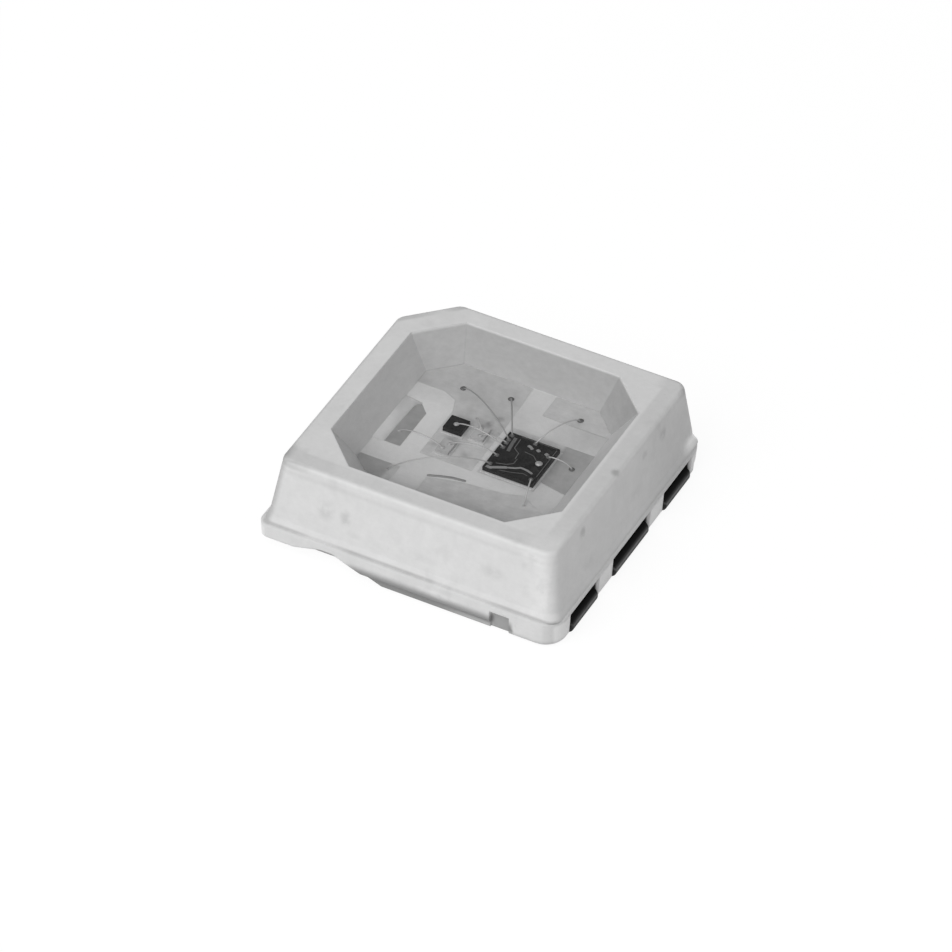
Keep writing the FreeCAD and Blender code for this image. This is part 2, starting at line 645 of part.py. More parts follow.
for obj in doc.Objects:
    if "Invalid" in obj.State or "Error" in obj.State:
        raise RuntimeError("not built: " + obj.Name)
nodes = [housing, resin] + leads + inner + wires
for node in nodes:
    shape = node.Shape
    if shape.isNull() or not shape.isValid() or len(shape.Solids) != 1:
        raise RuntimeError("bad shape: %s with %d solids" % (node.Label, len(shape.Solids)))
for node in nodes:
    node.Shape.exportStep("parts/%s.step" % node.Label)
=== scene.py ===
"""Scene of a surface-mount light emitter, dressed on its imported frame.

Frame: origin in the middle of the footprint on the solder plane, z up. The
walls at -y and +x face the camera. Sizes in the classes are millimetres, as
in the sheet of the part's source, and become metres where a mesh is made.
In a finish, a pair of numbers is a ramp: where it begins and where it is full.
"""

import logging
import math
from dataclasses import dataclass
from enum import Enum
from typing import Any, Sequence

import bmesh
import bpy
from mathutils import Matrix, Vector


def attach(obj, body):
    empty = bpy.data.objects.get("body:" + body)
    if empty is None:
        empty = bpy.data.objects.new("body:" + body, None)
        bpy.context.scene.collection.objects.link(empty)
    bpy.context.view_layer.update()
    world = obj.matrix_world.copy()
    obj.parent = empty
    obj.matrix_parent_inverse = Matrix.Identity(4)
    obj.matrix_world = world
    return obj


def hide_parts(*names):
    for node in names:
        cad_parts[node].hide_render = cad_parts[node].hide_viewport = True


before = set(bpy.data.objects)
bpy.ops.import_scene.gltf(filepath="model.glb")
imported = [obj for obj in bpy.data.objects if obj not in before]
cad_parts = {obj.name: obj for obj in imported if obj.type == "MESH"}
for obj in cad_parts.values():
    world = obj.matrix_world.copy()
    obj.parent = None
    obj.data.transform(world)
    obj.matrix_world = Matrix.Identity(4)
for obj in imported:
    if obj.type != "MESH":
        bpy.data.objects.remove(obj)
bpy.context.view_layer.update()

LOG = logging.getLogger("light_emitter")
MM = 0.001
Point = tuple[float, float, float]
Flat = tuple[float, float]


# Shared places


@dataclass(frozen=True)
class Levels:
    """Heights over the solder plane that several pieces share."""

    floor: float = 0.64
    parting: float = 0.49
    rim: float = 1.63
    dark_chip: float = 0.815
    clear_chip: float = 0.76


LEVELS = Levels()
HALF_BODY = 2.5
DRIVER_PADS: dict[str, Flat] = {
    "left_back": (0.29, 0.34),
    "back_corner": (0.29, 0.23),
    "green": (0.29, 0.15),
    "red": (0.29, 0.04),
    "blue": (0.29, -0.17),
    "left_front": (0.29, -0.39),
    "right_back": (0.68, 0.34),
    "right_mid": (0.99, 0.16),
    "right_front": (0.99, -0.42),
}
CLEAR_PADS: dict[str, Flat] = {
    "green_in": (-0.14, 0.14),
    "green_out": (-0.20, 0.28),
    "blue_in": (-0.45, -0.26),
    "blue_out": (-0.51, -0.39),
}
RED_PAD: Flat = (-0.56, 0.17)


# Shader maths


@dataclass(frozen=True)
class Stripe:
    """Where a mask is one, and how wide its soft edges are."""

    low: float
    high: float
    soft: float


@dataclass(frozen=True)
class Smudge:
    """A faint grey mark, or with a negative strength a lighter patch: its middle, its reach along each
    axis and its strength.
    """

    middle: Point
    reach: Point
    strength: float


@dataclass(frozen=True)
class Mottle:
    """A layer of cloudy variation: features per millimetre, detail, roughness, strength."""

    scale: float
    detail: float
    rough: float
    strength: float


class Signal:
    """One output socket that takes part in expressions."""

    def __init__(self, ink: "Ink", socket: bpy.types.NodeSocket) -> None:
        """Wraps a socket of the tree that ink writes."""
        self.ink = ink
        self.socket = socket

    def _math(self, operation: str, *values: Any) -> "Signal":
        """Adds one Math node on numbers and signals."""
        return self.ink.node(
            "ShaderNodeMath", {"operation": operation}, dict(enumerate(values))
        )

    def __add__(self, other: Any) -> "Signal":
        """Sum."""
        return self._math("ADD", self, other)

    __radd__ = __add__

    def __sub__(self, other: Any) -> "Signal":
        """Difference."""
        return self._math("SUBTRACT", self, other)

    def __rsub__(self, other: Any) -> "Signal":
        """Difference from a number."""
        return self._math("SUBTRACT", other, self)

    def __mul__(self, other: Any) -> "Signal":
        """Product."""
        return self._math("MULTIPLY", self, other)

    __rmul__ = __mul__

    def __abs__(self) -> "Signal":
        """Absolute value."""
        return self._math("ABSOLUTE", self)

    def least(self, other: Any) -> "Signal":
        """The smaller of two values."""
        return self._math("MINIMUM", self, other)

    def most(self, other: Any) -> "Signal":
        """The larger of two values."""
        return self._math("MAXIMUM", self, other)

    def ramp(self, ends: Flat, base: float = 0.0) -> "Signal":
        """Smooth ramp from 0 at the first end to 1 at the second.

        Args:
            ends: the two ends, in either order.
            base: value that the ends are measured from.

        Returns:
            The ramp.
        """
        first, last = base + ends[0], base + ends[1]
        rising = self.ink.node(
            "ShaderNodeMapRange",
            {"interpolation_type": "SMOOTHSTEP"},
            {"Value": self, "From Min": min(first, last), "From Max": max(first, last)},
        )
        return 1 - rising if first > last else rising

    def band(self, stripe: Stripe, base: float = 0.0) -> "Signal":
        """One inside a stripe and zero outside.

        Args:
            stripe: the stripe.
            base: value that it is measured from.

        Returns:
            The mask.
        """
        rise = (stripe.low - stripe.soft, stripe.low + stripe.soft)
        fall = (stripe.high + stripe.soft, stripe.high - stripe.soft)
        return self.ramp(rise, base) * self.ramp(fall, base)


class Ink:
    """Writes the node tree of one finish."""

    def __init__(self, name: str) -> None:
        """Starts an empty material.

        Args:
            name: what the material is called.
        """
        self.material = bpy.data.materials.new(name)
        self.material.use_nodes = True
        self.tree = self.material.node_tree
        self.tree.nodes.clear()

    def node(
        self,
        kind: str,
        settings: dict[str, Any] | None = None,
        sockets: dict[Any, Any] | None = None,
        out: int | str = 0,
    ) -> Signal:
        """Adds a node, sets it up, then fills its sockets.

        Args:
            kind: Blender's name of the node type.
            settings: properties of the node.
            sockets: values or signals by socket name or number.
            out: the output that is handed back.

        Returns:
            The chosen output as a signal.
        """
        made = self.tree.nodes.new(kind)
        for key, value in (settings or {}).items():
            setattr(made, key, value)
        for key, value in (sockets or {}).items():
            if isinstance(value, Signal):
                self.tree.links.new(value.socket, made.inputs[key])
            else:
                made.inputs[key].default_value = value
        return Signal(self, made.outputs[out] if made.outputs else None)

    def place(self) -> Signal:
        """Position on the part as a vector in millimetres."""
        spot = self.node("ShaderNodeTexCoord", out="Object")
        return self.node(
            "ShaderNodeVectorMath", {"operation": "SCALE"}, {0: spot, "Scale": 1 / MM}
        )

    def parts(self, vector: Signal) -> tuple[Signal, Signal, Signal]:
        """Takes a vector apart.

        Args:
            vector: the vector.

        Returns:
            Its x, y and z.
        """
        split = self.node("ShaderNodeSeparateXYZ", sockets={0: vector})
        outs = split.socket.node.outputs
        return Signal(self, outs[0]), Signal(self, outs[1]), Signal(self, outs[2])

    def seen(self, *rays: str) -> Signal:
        """Tells rays of some kinds from all others.

        Args:
            rays: the kinds, as the Light Path node calls them.

        Returns:
            One for a ray of any of these kinds, and zero for others.
        """
        path = self.node("ShaderNodeLightPath", out=rays[0])
        outs = path.socket.node.outputs
        for ray in rays[1:]:
            path = path.most(Signal(self, outs[ray]))
        return path

    def cloud(
        self, vector: Signal, scale: float, detail: float = 3, rough: float = 0.5
    ) -> Signal:
        """Noise from 0 to 1 with scale features per millimetre."""
        return self.node(
            "ShaderNodeTexNoise",
            None,
            {"Vector": vector, "Scale": scale, "Detail": detail, "Roughness": rough},
        )

    def mottle(self, vector: Signal, layer: Mottle) -> Signal:
        """Variation of one layer, as far above zero as below it."""
        cloud = self.cloud(vector, layer.scale, layer.detail, layer.rough)
        return (cloud - 0.5) * layer.strength

    def squeeze(self, vector: Signal, by: Point) -> Signal:
        """A vector with each axis scaled, for grain that runs one way."""
        return self.node(
            "ShaderNodeVectorMath", {"operation": "MULTIPLY"}, {0: vector, 1: by}
        )

    def near(self, vector: Signal, mark: Smudge) -> Signal:
        """Patchy nearness to a mark, 1 in its middle and 0 at its reach.

        Args:
            vector: position in millimetres.
            mark: the mark.

        Returns:
            The nearness.
        """
        kind = "ShaderNodeVectorMath"
        away = self.node(kind, {"operation": "SUBTRACT"}, {0: vector, 1: mark.middle})
        away = self.node(kind, {"operation": "DIVIDE"}, {0: away, 1: mark.reach})
        away = self.node(kind, {"operation": "LENGTH"}, {0: away}, out="Value")
        return away.ramp((1.0, 0.2)) * self.cloud(vector, 6.0).ramp((0.3, 0.6))

    def marked(self, tone: Signal, vector: Signal, marks: Sequence[Smudge]) -> Signal:
        """A tone with marks laid over it.

        Args:
            tone: the tone without marks.
            vector: position in millimetres.
            marks: the marks, of which a negative one is lighter.

        Returns:
            The marked tone.
        """
        for mark in marks:
            tone = tone - self.near(vector, mark) * mark.strength
        return tone

    def grey(self, value: Signal) -> Signal:
        """A neutral colour of a varying lightness."""
        return self.node(
            "ShaderNodeCombineColor", None, {"Red": value, "Green": value, "Blue": value}
        )

    def bump(self, height: Signal, depth: float, under: Signal | None = None) -> Signal:
        """Surface relief.

        Args:
            height: signal from 0 to 1.
            depth: depth in millimetres of a height of 1.
            under: normal that the relief is laid on, or none for the plain one.

        Returns:
            The normal.
        """
        sockets = {"Height": height, "Distance": depth * MM}
        if under:
            sockets["Normal"] = under
        return self.node("ShaderNodeBump", None, sockets)

    def surface(self, **sockets: Any) -> Signal:
        """A Principled shader; underscores in the names stand for spaces."""
        named = {key.replace("_", " "): value for key, value in sockets.items()}
        return self.node("ShaderNodeBsdfPrincipled", None, named)

    def finish(self, shader: Signal) -> bpy.types.Material:
        """Links the shader to the output and hands back the material."""
        self.node("ShaderNodeOutputMaterial", None, {"Surface": shader})
        return self.material


def along_wall(x: Signal, y: Signal) -> Signal:
    """Place along a wall without leads, from left to right as seen from outside.

    The two such walls are alike after half a turn, so one value serves both.
    """
    return x * y * (-1 / HALF_BODY)


# Finishes


@dataclass(frozen=True)
class CavityShade:
    """Painted shade: share of tone that each face of the window's cavity loses."""

    half: float = 1.925
    mouth: Flat = (0.02, -0.005)
    below_rim: Flat = (-0.012, -0.06)
    below_floor: Flat = (-0.02, -0.005)
    above_floor: Flat = (0.003, 0.02)
    crease_run: float = 0.213
    crease: Flat = (0.25, 0.30)
    back_half: Flat = (0.8, 1.0)
    across: Flat = (-0.2, 0.2)
    right_side: Flat = (1.5, 1.7)
    web_backward: Flat = (0.1, 1.0)
    web_rightward: Flat = (0.6, 1.3)
    wall_loss: float = 0.05
    back_loss: float = 0.29
    facet_loss: float = 0.15
    right_facet_loss: float = 0.21
    right_loss: float = 0.04
    web_back_loss: float = 0.15
    web_right_loss: float = 0.16
    grain: Mottle = Mottle(7.0, 3, 0.6, 0.16)

    def walls(self, x: Signal, y: Signal, z: Signal) -> Signal:
        """Painted shade on the sloping walls, greatest at the back and on its two facets.

        Args:
            x: place along the part's x axis.
            y: place along its y axis.
            z: height.

        Returns:
            The loss.
        """
        skew = y - abs(x)
        slant = z * self.crease_run
        back = (skew - slant).ramp(self.crease) * self.back_loss
        facet = (1 - (abs(skew) - slant).ramp(self.crease)) * y.ramp(self.back_half)
        facet = facet * (self.facet_loss + x.ramp(self.across) * self.right_facet_loss)
        return self.wall_loss + back + facet + x.ramp(self.right_side) * self.right_loss

    def webs(self, x: Signal, y: Signal) -> Signal:
        """Painted shade on the moulded floor, growing to the back and to the right."""
        backward = y.ramp(self.web_backward) * self.web_back_loss
        return backward + x.ramp(self.web_rightward) * self.web_right_loss

    def kept(self, ink: Ink, spot: Signal) -> Signal:
        """Share of tone kept under the painted shade, 1 outside the cavity.

        Args:
            ink: writer of the finish.
            spot: position in millimetres.

        Returns:
            The share.
        """
        x, y, z = ink.parts(spot)
        within = abs(x).most(abs(y)).ramp(self.mouth, self.half)
        inside = z.ramp(self.below_rim, LEVELS.rim) * within
        inside = inside * z.ramp(self.below_floor, LEVELS.floor)
        wall = z.ramp(self.above_floor, LEVELS.floor)
        loss = wall * self.walls(x, y, z) + (1 - wall) * self.webs(x, y)
        return 1 - inside * (loss + ink.mottle(spot, self.grain))


@dataclass(frozen=True)
class LowerShade:
    """Painted shade: share of tone lost in the lead recesses, along the lower edges and at far
    corners.
    """

    recess: Stripe = Stripe(2.16, 2.45, 0.015)
    recess_top: Flat = (0.446, 0.436)
    recess_foot: Flat = (0.026, 0.04)
    recess_ends: Flat = (2.2, 2.05)
    recess_loss: float = 0.93
    face_out: Flat = (2.30, 2.38)
    face_top: Flat = (0.46, 0.43)
    lip_left: Flat = (-1.10, -0.85)
    lip_right: Flat = (1.78, 1.70)
    lip_under: Flat = (0.35, 0.17)
    lip_loss: float = 0.64
    ledge_under: Flat = (0.175, 0.14)
    ledge_loss: float = 0.42
    paler_right: Flat = (0.4, 1.1)
    paler_under: Flat = (0.14, 0.06)
    paler: float = 0.42
    arch_start: float = -0.3
    arch_slope: float = 0.245
    arch_top: float = 0.23
    arch_edge: Flat = (0.12, 0.0)
    arch_left: Flat = (-1.5, -1.2)
    arch_right: Flat = (-0.3, -0.6)
    arch_loss: float = 0.6
    notch: Stripe = Stripe(1.36, 1.72, 0.02)
    notch_in: Flat = (2.425, 2.405)
    notch_loss: float = 0.5
    foot: Flat = (0.16, 0.0)
    foot_loss: float = 0.34
    lean: float = 0.139
    wall: float = 2.493
    left_edge: Flat = (-0.17, -0.01)
    left_end: Flat = (-1.7, -2.15)
    left_loss: float = 0.34
    back_edge: Flat = (-0.09, 0.0)
    back_end: Flat = (1.9, 2.1)
    back_loss: float = 0.16
    over_parting: Flat = (0.0, 0.05)

    def recesses(self, x: Signal, y: Signal, z: Signal) -> Signal:
        """Painted shade in the recesses behind the leads.

        Args:
            x: place along the part's x axis.
            y: place along its y axis.
            z: height.

        Returns:
            The loss.
        """
        inside = abs(x).band(self.recess) * z.ramp(self.recess_top)
        inside = inside * z.ramp(self.recess_foot) * abs(y).ramp(self.recess_ends)
        return inside * self.recess_loss

    def lower_edge(self, along: Signal, y: Signal, z: Signal, lip: Signal) -> Signal:
        """Painted shade under the lip, up the slope of the arch and in the notch.

        Args:
            along: place along the wall.
            y: place along the part's y axis.
            z: height.
            lip: one over the length of the lip.

        Returns:
            The loss on a wall without leads.
        """
        under = z.ramp(self.ledge_under) * self.ledge_loss + z.ramp(self.lip_under) * self.lip_loss
        pale = along.ramp(self.paler_right) * z.ramp(self.paler_under) * self.paler
        under = (under * lip).least(self.lip_loss) * (1 - pale)
        arch = ((along - self.arch_start) * -self.arch_slope).most(0.0).least(self.arch_top)
        slope = (z - arch).ramp(self.arch_edge) * along.ramp(self.arch_left)
        slope = slope * along.ramp(self.arch_right) * self.arch_loss
        notch = abs(y).ramp(self.notch_in) * along.band(self.notch)
        return under.most(slope) * (1 - notch) + notch * self.notch_loss

    def far_corners(self, x: Signal, y: Signal, z: Signal) -> Signal:
        """Painted shade on the edges where the left and back walls turn out of sight.

        Args:
            x: place along the part's x axis.
            y: place along its y axis.
            z: height.

        Returns:
            The loss.
        """
        left = (z * self.lean - x).ramp(self.left_edge, self.wall) * y.ramp(self.left_end)
        back = (z * self.lean + y).ramp(self.back_edge, self.wall) * x.ramp(self.back_end)
        turned = left * self.left_loss + back * self.back_loss
        return turned * z.ramp(self.over_parting, LEVELS.parting)

    def kept(self, x: Signal, y: Signal, z: Signal) -> Signal:
        """Share of tone kept under the painted shade, which also darkens the foot towards the bottom.

        Args:
            x: place along the part's x axis.
            y: place along its y axis.
            z: height.

        Returns:
            The share.
        """
        along = along_wall(x, y)
        face = abs(y).ramp(self.face_out) * z.ramp(self.face_top)
        lip = along.ramp(self.lip_left) * along.ramp(self.lip_right)
        foot = z.ramp(self.foot) * (1 - face * lip) * self.foot_loss
        edge = face * self.lower_edge(along, y, z, lip)
        kept = (1 - edge) * (1 - foot) * (1 - self.far_corners(x, y, z))
        return (1 - self.recesses(x, y, z)) * kept


@dataclass(frozen=True)
class OuterTone:
    """Lines, edges and faces of the outside that are darker or lighter than the rest: painted shade,
    painted highlights, and a rim darker at the front and right.
    """

    rim_line: Stripe = Stripe(1.43, 1.49, 0.045)
    rim_line_end: Flat = (2.1, 2.25)
    rim_line_loss: float = 0.06
    dark_line: Stripe = Stripe(-0.012, 0.032, 0.022)
    seam_loss: float = 0.24
    faint_left: Stripe = Stripe(-1.7, -1.1, 0.2)
    faint_right: Stripe = Stripe(0.4, 1.35, 0.2)
    faint_left_share: float = 0.55
    faint_right_share: float = 0.5
    seam_side: Flat = (2.40, 2.46)
    seam_side_share: float = 0.85
    top: Flat = (1.60, 1.625)
    front_rim: Flat = (-1.8, -2.0)
    front_rim_end: Flat = (2.0, 1.6)
    front_rim_loss: float = 0.05
    corner_rim: Flat = (-1.2, -1.9)
    corner_rim_loss: float = 0.04
    right_rim: Flat = (1.8, 2.0)
    right_rim_end: Flat = (-2.0, -1.6)
    right_rim_loss: float = 0.10
    far_reach: Flat = (2.20, 2.245)
    far_height: Flat = (1.50, 1.56)
    far_left: Flat = (-1.6, -2.1)
    far_back: Flat = (1.9, 2.15)
    far_loss: float = 0.16
    right_wall: Flat = (2.22, 2.28)
    right_wall_loss: float = 0.04
    right_backward: Flat = (0.0, 1.6)
    right_backward_loss: float = 0.08
    high: Flat = (1.15, 1.52)
    high_side: Flat = (2.2, 2.26)
    side_highlight: float = 0.03
    post_middle: float = 0.86
    post_half: Flat = (0.24, 0.17)
    end_post: Flat = (2.02, 2.10)
    post_out: Flat = (2.36, 2.43)
    post_top: Flat = (0.46, 0.37)
    post_highlight: float = 0.28

    def lines(self, x: Signal, y: Signal, z: Signal, outside: Signal) -> Signal:
        """Painted shade along the rim's lower line and along the parting line.

        Args:
            x: place along the part's x axis.
            y: place along its y axis.
            z: height.
            outside: one outside the window.

        Returns:
            The loss.
        """
        rim_line = z.band(self.rim_line) * outside * abs(y).ramp(self.rim_line_end)
        along = along_wall(x, y)
        faint = along.band(self.faint_left) * self.faint_left_share
        faint = faint + along.band(self.faint_right) * self.faint_right_share
        dark_line = z.band(self.dark_line, LEVELS.parting) * outside * (1 - faint)
        dark_line = dark_line * (1 - abs(x).ramp(self.seam_side) * self.seam_side_share)
        return rim_line * self.rim_line_loss + dark_line * self.seam_loss

    def rim(self, x: Signal, y: Signal, z: Signal, outside: Signal) -> Signal:
        """Loss on the flat of the rim, at the front and on the right.

        Args:
            x: place along the part's x axis.
            y: place along its y axis.
            z: height.
            outside: one outside the window.

        Returns:
            The loss.
        """
        front = y.ramp(self.front_rim) * x.ramp(self.front_rim_end)
        front = front * (self.front_rim_loss + x.ramp(self.corner_rim) * self.corner_rim_loss)
        right = x.ramp(self.right_rim) * y.ramp(self.right_rim_end) * self.right_rim_loss
        return z.ramp(self.top) * outside * (front + right)

    def walls(self, x: Signal, y: Signal, z: Signal, reach: Signal) -> Signal:
        """Painted shade on the right wall and along the far edges of the rim.

        Args:
            x: place along the part's x axis.
            y: place along its y axis.
            z: height.
            reach: how far out a place lies, measured square to its wall.

        Returns:
            The loss.
        """
        backward = y.ramp(self.right_backward) * self.right_backward_loss
        right = x.ramp(self.right_wall) * (backward + self.right_wall_loss)
        edge = reach.ramp(self.far_reach) * z.ramp(self.far_height)
        far = x.ramp(self.far_left).most(y.ramp(self.far_back))
        return right + edge * far * self.far_loss

    def painted_highlights(self, x: Signal, y: Signal, z: Signal) -> Signal:
        """Painted highlight high on the side walls and on the posts beside the leads.

        Args:
            x: place along the part's x axis.
            y: place along its y axis.
            z: height.

        Returns:
            The gain.
        """
        high = z.ramp(self.high) * abs(x).ramp(self.high_side) * self.side_highlight
        post = abs(abs(y) - self.post_middle).ramp(self.post_half) + abs(y).ramp(self.end_post)
        post = abs(x).ramp(self.post_out) * z.ramp(self.post_top) * post
        return high + post * self.post_highlight


@dataclass(frozen=True)
class WhiteMoulding:
    """Matt white moulding compound with faint stains and a fine grain, and painted shade and painted
    highlights laid into its tone.
    """

    tone: float = 0.81
    brightest: float = 0.98
    layers: tuple[Mottle, ...] = (
        Mottle(1.1, 3, 0.5, 0.06),
        Mottle(3.4, 4, 0.65, 0.12),
        Mottle(11.0, 3, 0.6, 0.07),
    )
    stain_loss: float = 0.07
    blots: Flat = (0.62, 0.8)
    specks: Flat = (0.70, 0.78)
    speck_weight: float = 0.5
    streak_gain: float = 0.02
    grain: float = 0.0016
    waves: float = 0.009
    softness: float = 0.03
    cut: float = 0.8
    window: Flat = (1.93, 2.0)
    # A glossy coated spot at the back right lower corner, whose tone is also lifted as a painted
    # highlight.
    polish_and_highlight_x: Flat = (2.26, 2.36)
    polish_and_highlight_y: Flat = (1.85, 2.15)
    polish_and_highlight_z: Stripe = Stripe(0.52, 0.70, 0.11)
    painted_highlight_gain: float = 0.16
    coat_roughness: float = 0.05
    coat_index: float = 2.6
    roughness: float = 0.38
    roughness_spread: float = 0.16
    outer: OuterTone = OuterTone()
    cavity: CavityShade = CavityShade()
    lower: LowerShade = LowerShade()
    stains_and_highlights: tuple[Smudge, ...] = (
        Smudge((-1.43, -2.3, 1.02), (0.19, 0.5, 0.22), 0.12),
        Smudge((-1.11, -2.3, 1.00), (0.13, 0.5, 0.20), 0.16),
        Smudge((-0.95, -2.3, 0.78), (0.16, 0.5, 0.10), 0.05),
        Smudge((1.33, -2.3, 1.0), (0.30, 0.5, 0.16), 0.08),
        Smudge((0.2, -2.35, 0.80), (0.5, 0.5, 0.10), 0.04),
        Smudge((2.22, -0.11, 1.63), (0.11, 0.12, 0.10), 0.24),
        Smudge((2.3, -1.35, 1.42), (0.3, 0.13, 0.14), 0.22),
        Smudge((2.3, 1.33, 1.34), (0.3, 0.15, 0.14), 0.16),
        Smudge((2.3, 0.72, 1.38), (0.3, 0.12, 0.10), 0.12),
        # Lighter patch: a painted highlight along the front-right upright edge.
        Smudge((2.15, -2.4, 1.0), (0.35, 0.3, 0.9), -0.07),
        Smudge((2.3, -1.23, 0.82), (0.3, 0.30, 0.16), 0.06),
        Smudge((2.3, 0.3, 0.95), (0.3, 0.45, 0.16), 0.05),
        Smudge((1.6, -2.2, 1.63), (0.25, 0.12, 0.1), 0.05),
        # Lighter patch: a painted highlight at the rim's front-right corner.
        Smudge((1.95, -2.3, 1.47), (0.4, 0.3, 0.14), -0.06),
        # Lighter patch: a painted highlight on the lower front lip.
        Smudge((0.5, -2.45, 0.30), (0.6, 0.3, 0.10), -0.10),
        Smudge((-2.1, -0.8, 1.63), (0.12, 0.5, 0.1), 0.03),
    )

    def stains(self, ink: Ink, spot: Signal) -> Signal:
        """Loose blots and finer, weaker specks."""
        blots = ink.cloud(ink.squeeze(spot, (1.0, 1.0, 0.7)), 2.3, 2).ramp(self.blots)
        return blots + ink.cloud(spot, 9.0, 2).ramp(self.specks) * self.speck_weight

    def outside(self, ink: Ink, spot: Signal) -> Signal:
        """Tone with stains, marks, painted shade and painted highlights, before the cavity and the
        lower edges get their painted shade.

        Args:
            ink: writer of the finish.
            spot: position in millimetres.

        Returns:
            The tone.
        """
        x, y, z = ink.parts(spot)
        reach = abs(x).most(abs(y)).most((y - x + self.cut) * 0.5)
        outside = reach.ramp(self.window)
        tone = self.tone + ink.cloud(ink.squeeze(spot, (9.0, 9.0, 1.2)), 1.0, 2) * self.streak_gain
        for layer in self.layers:
            tone = tone + ink.mottle(spot, layer)
        tone = tone - self.stains(ink, spot) * self.stain_loss * outside
        # Painted shade on the lines, the right wall and far edges, a rim darker at front and right,
        # and painted highlights on side walls and posts.
        tone = tone - self.outer.lines(x, y, z, outside) - self.outer.rim(x, y, z, outside)
        tone = tone - self.outer.walls(x, y, z, reach) + self.outer.painted_highlights(x, y, z)
        return ink.marked(tone, spot, self.stains_and_highlights)

    def normal(self, ink: Ink, spot: Signal) -> Signal:
        """Fine grain and slow waves on eased edges.

        Args:
            ink: writer of the finish.
            spot: position in millimetres.

        Returns:
            The normal.
        """
        eased = ink.node("ShaderNodeBevel", {"samples": 4}, {"Radius": self.softness * MM})
        grain = ink.bump(ink.cloud(spot, 30.0, 2), self.grain, eased)
        slow = ink.cloud(ink.squeeze(spot, (1.0, 1.0, 1.6)), 2.2, 2)
        return ink.bump(slow, self.waves, grain)

    def dress(self) -> bpy.types.Material:
        """Builds the material.

        Returns:
            The material.
        """
        ink = Ink("white_moulding")
        spot = ink.place()
        x, y, z = ink.parts(spot)
        # Coat on that spot, and a painted highlight in its tone.
        polish_and_highlight = x.ramp(self.polish_and_highlight_x) * y.ramp(self.polish_and_highlight_y) * z.band(self.polish_and_highlight_z)
        tone = (self.outside(ink, spot) + polish_and_highlight * self.painted_highlight_gain).least(self.brightest)
        # Painted shade of the cavity and of the lower edges.
        tone = tone * self.cavity.kept(ink, spot) * self.lower.kept(x, y, z)
        return ink.finish(
            ink.surface(
                Base_Color=ink.grey(tone),
                Roughness=self.roughness + ink.cloud(spot, 5.0, 2) * self.roughness_spread,
                Coat_Weight=polish_and_highlight,
                Coat_Roughness=self.coat_roughness,
                Coat_IOR=self.coat_index,
                Normal=self.normal(ink, spot),
            )
        )


@dataclass(frozen=True)
class ClearResin:
    """Clear casting resin that bends the view and lets the lamps through."""

    tint: float = 0.96
    index: float = 1.5
    roughness: float = 0.02
    roughness_spread: float = 0.04
    ripple: float = 0.004

    def dress(self) -> bpy.types.Material:
        """Builds the material.

        Returns:
            The material.
        """
        ink = Ink("clear_resin")
        spot = ink.place()
        tint = (self.tint, self.tint, self.tint, 1)
        glass = ink.surface(
            Base_Color=tint,
            Roughness=self.roughness + ink.cloud(spot, 3.0, 2) * self.roughness_spread,
            IOR=self.index,
            Transmission_Weight=1.0,
            Normal=ink.bump(ink.cloud(spot, 0.9, 2), self.ripple),
        )
        clear = ink.node("ShaderNodeBsdfTransparent", None, {"Color": tint})
        bent = ink.seen("Is Camera Ray", "Is Transmission Ray")
        return ink.finish(ink.node("ShaderNodeMixShader", None, {0: bent, 1: clear, 2: glass}))


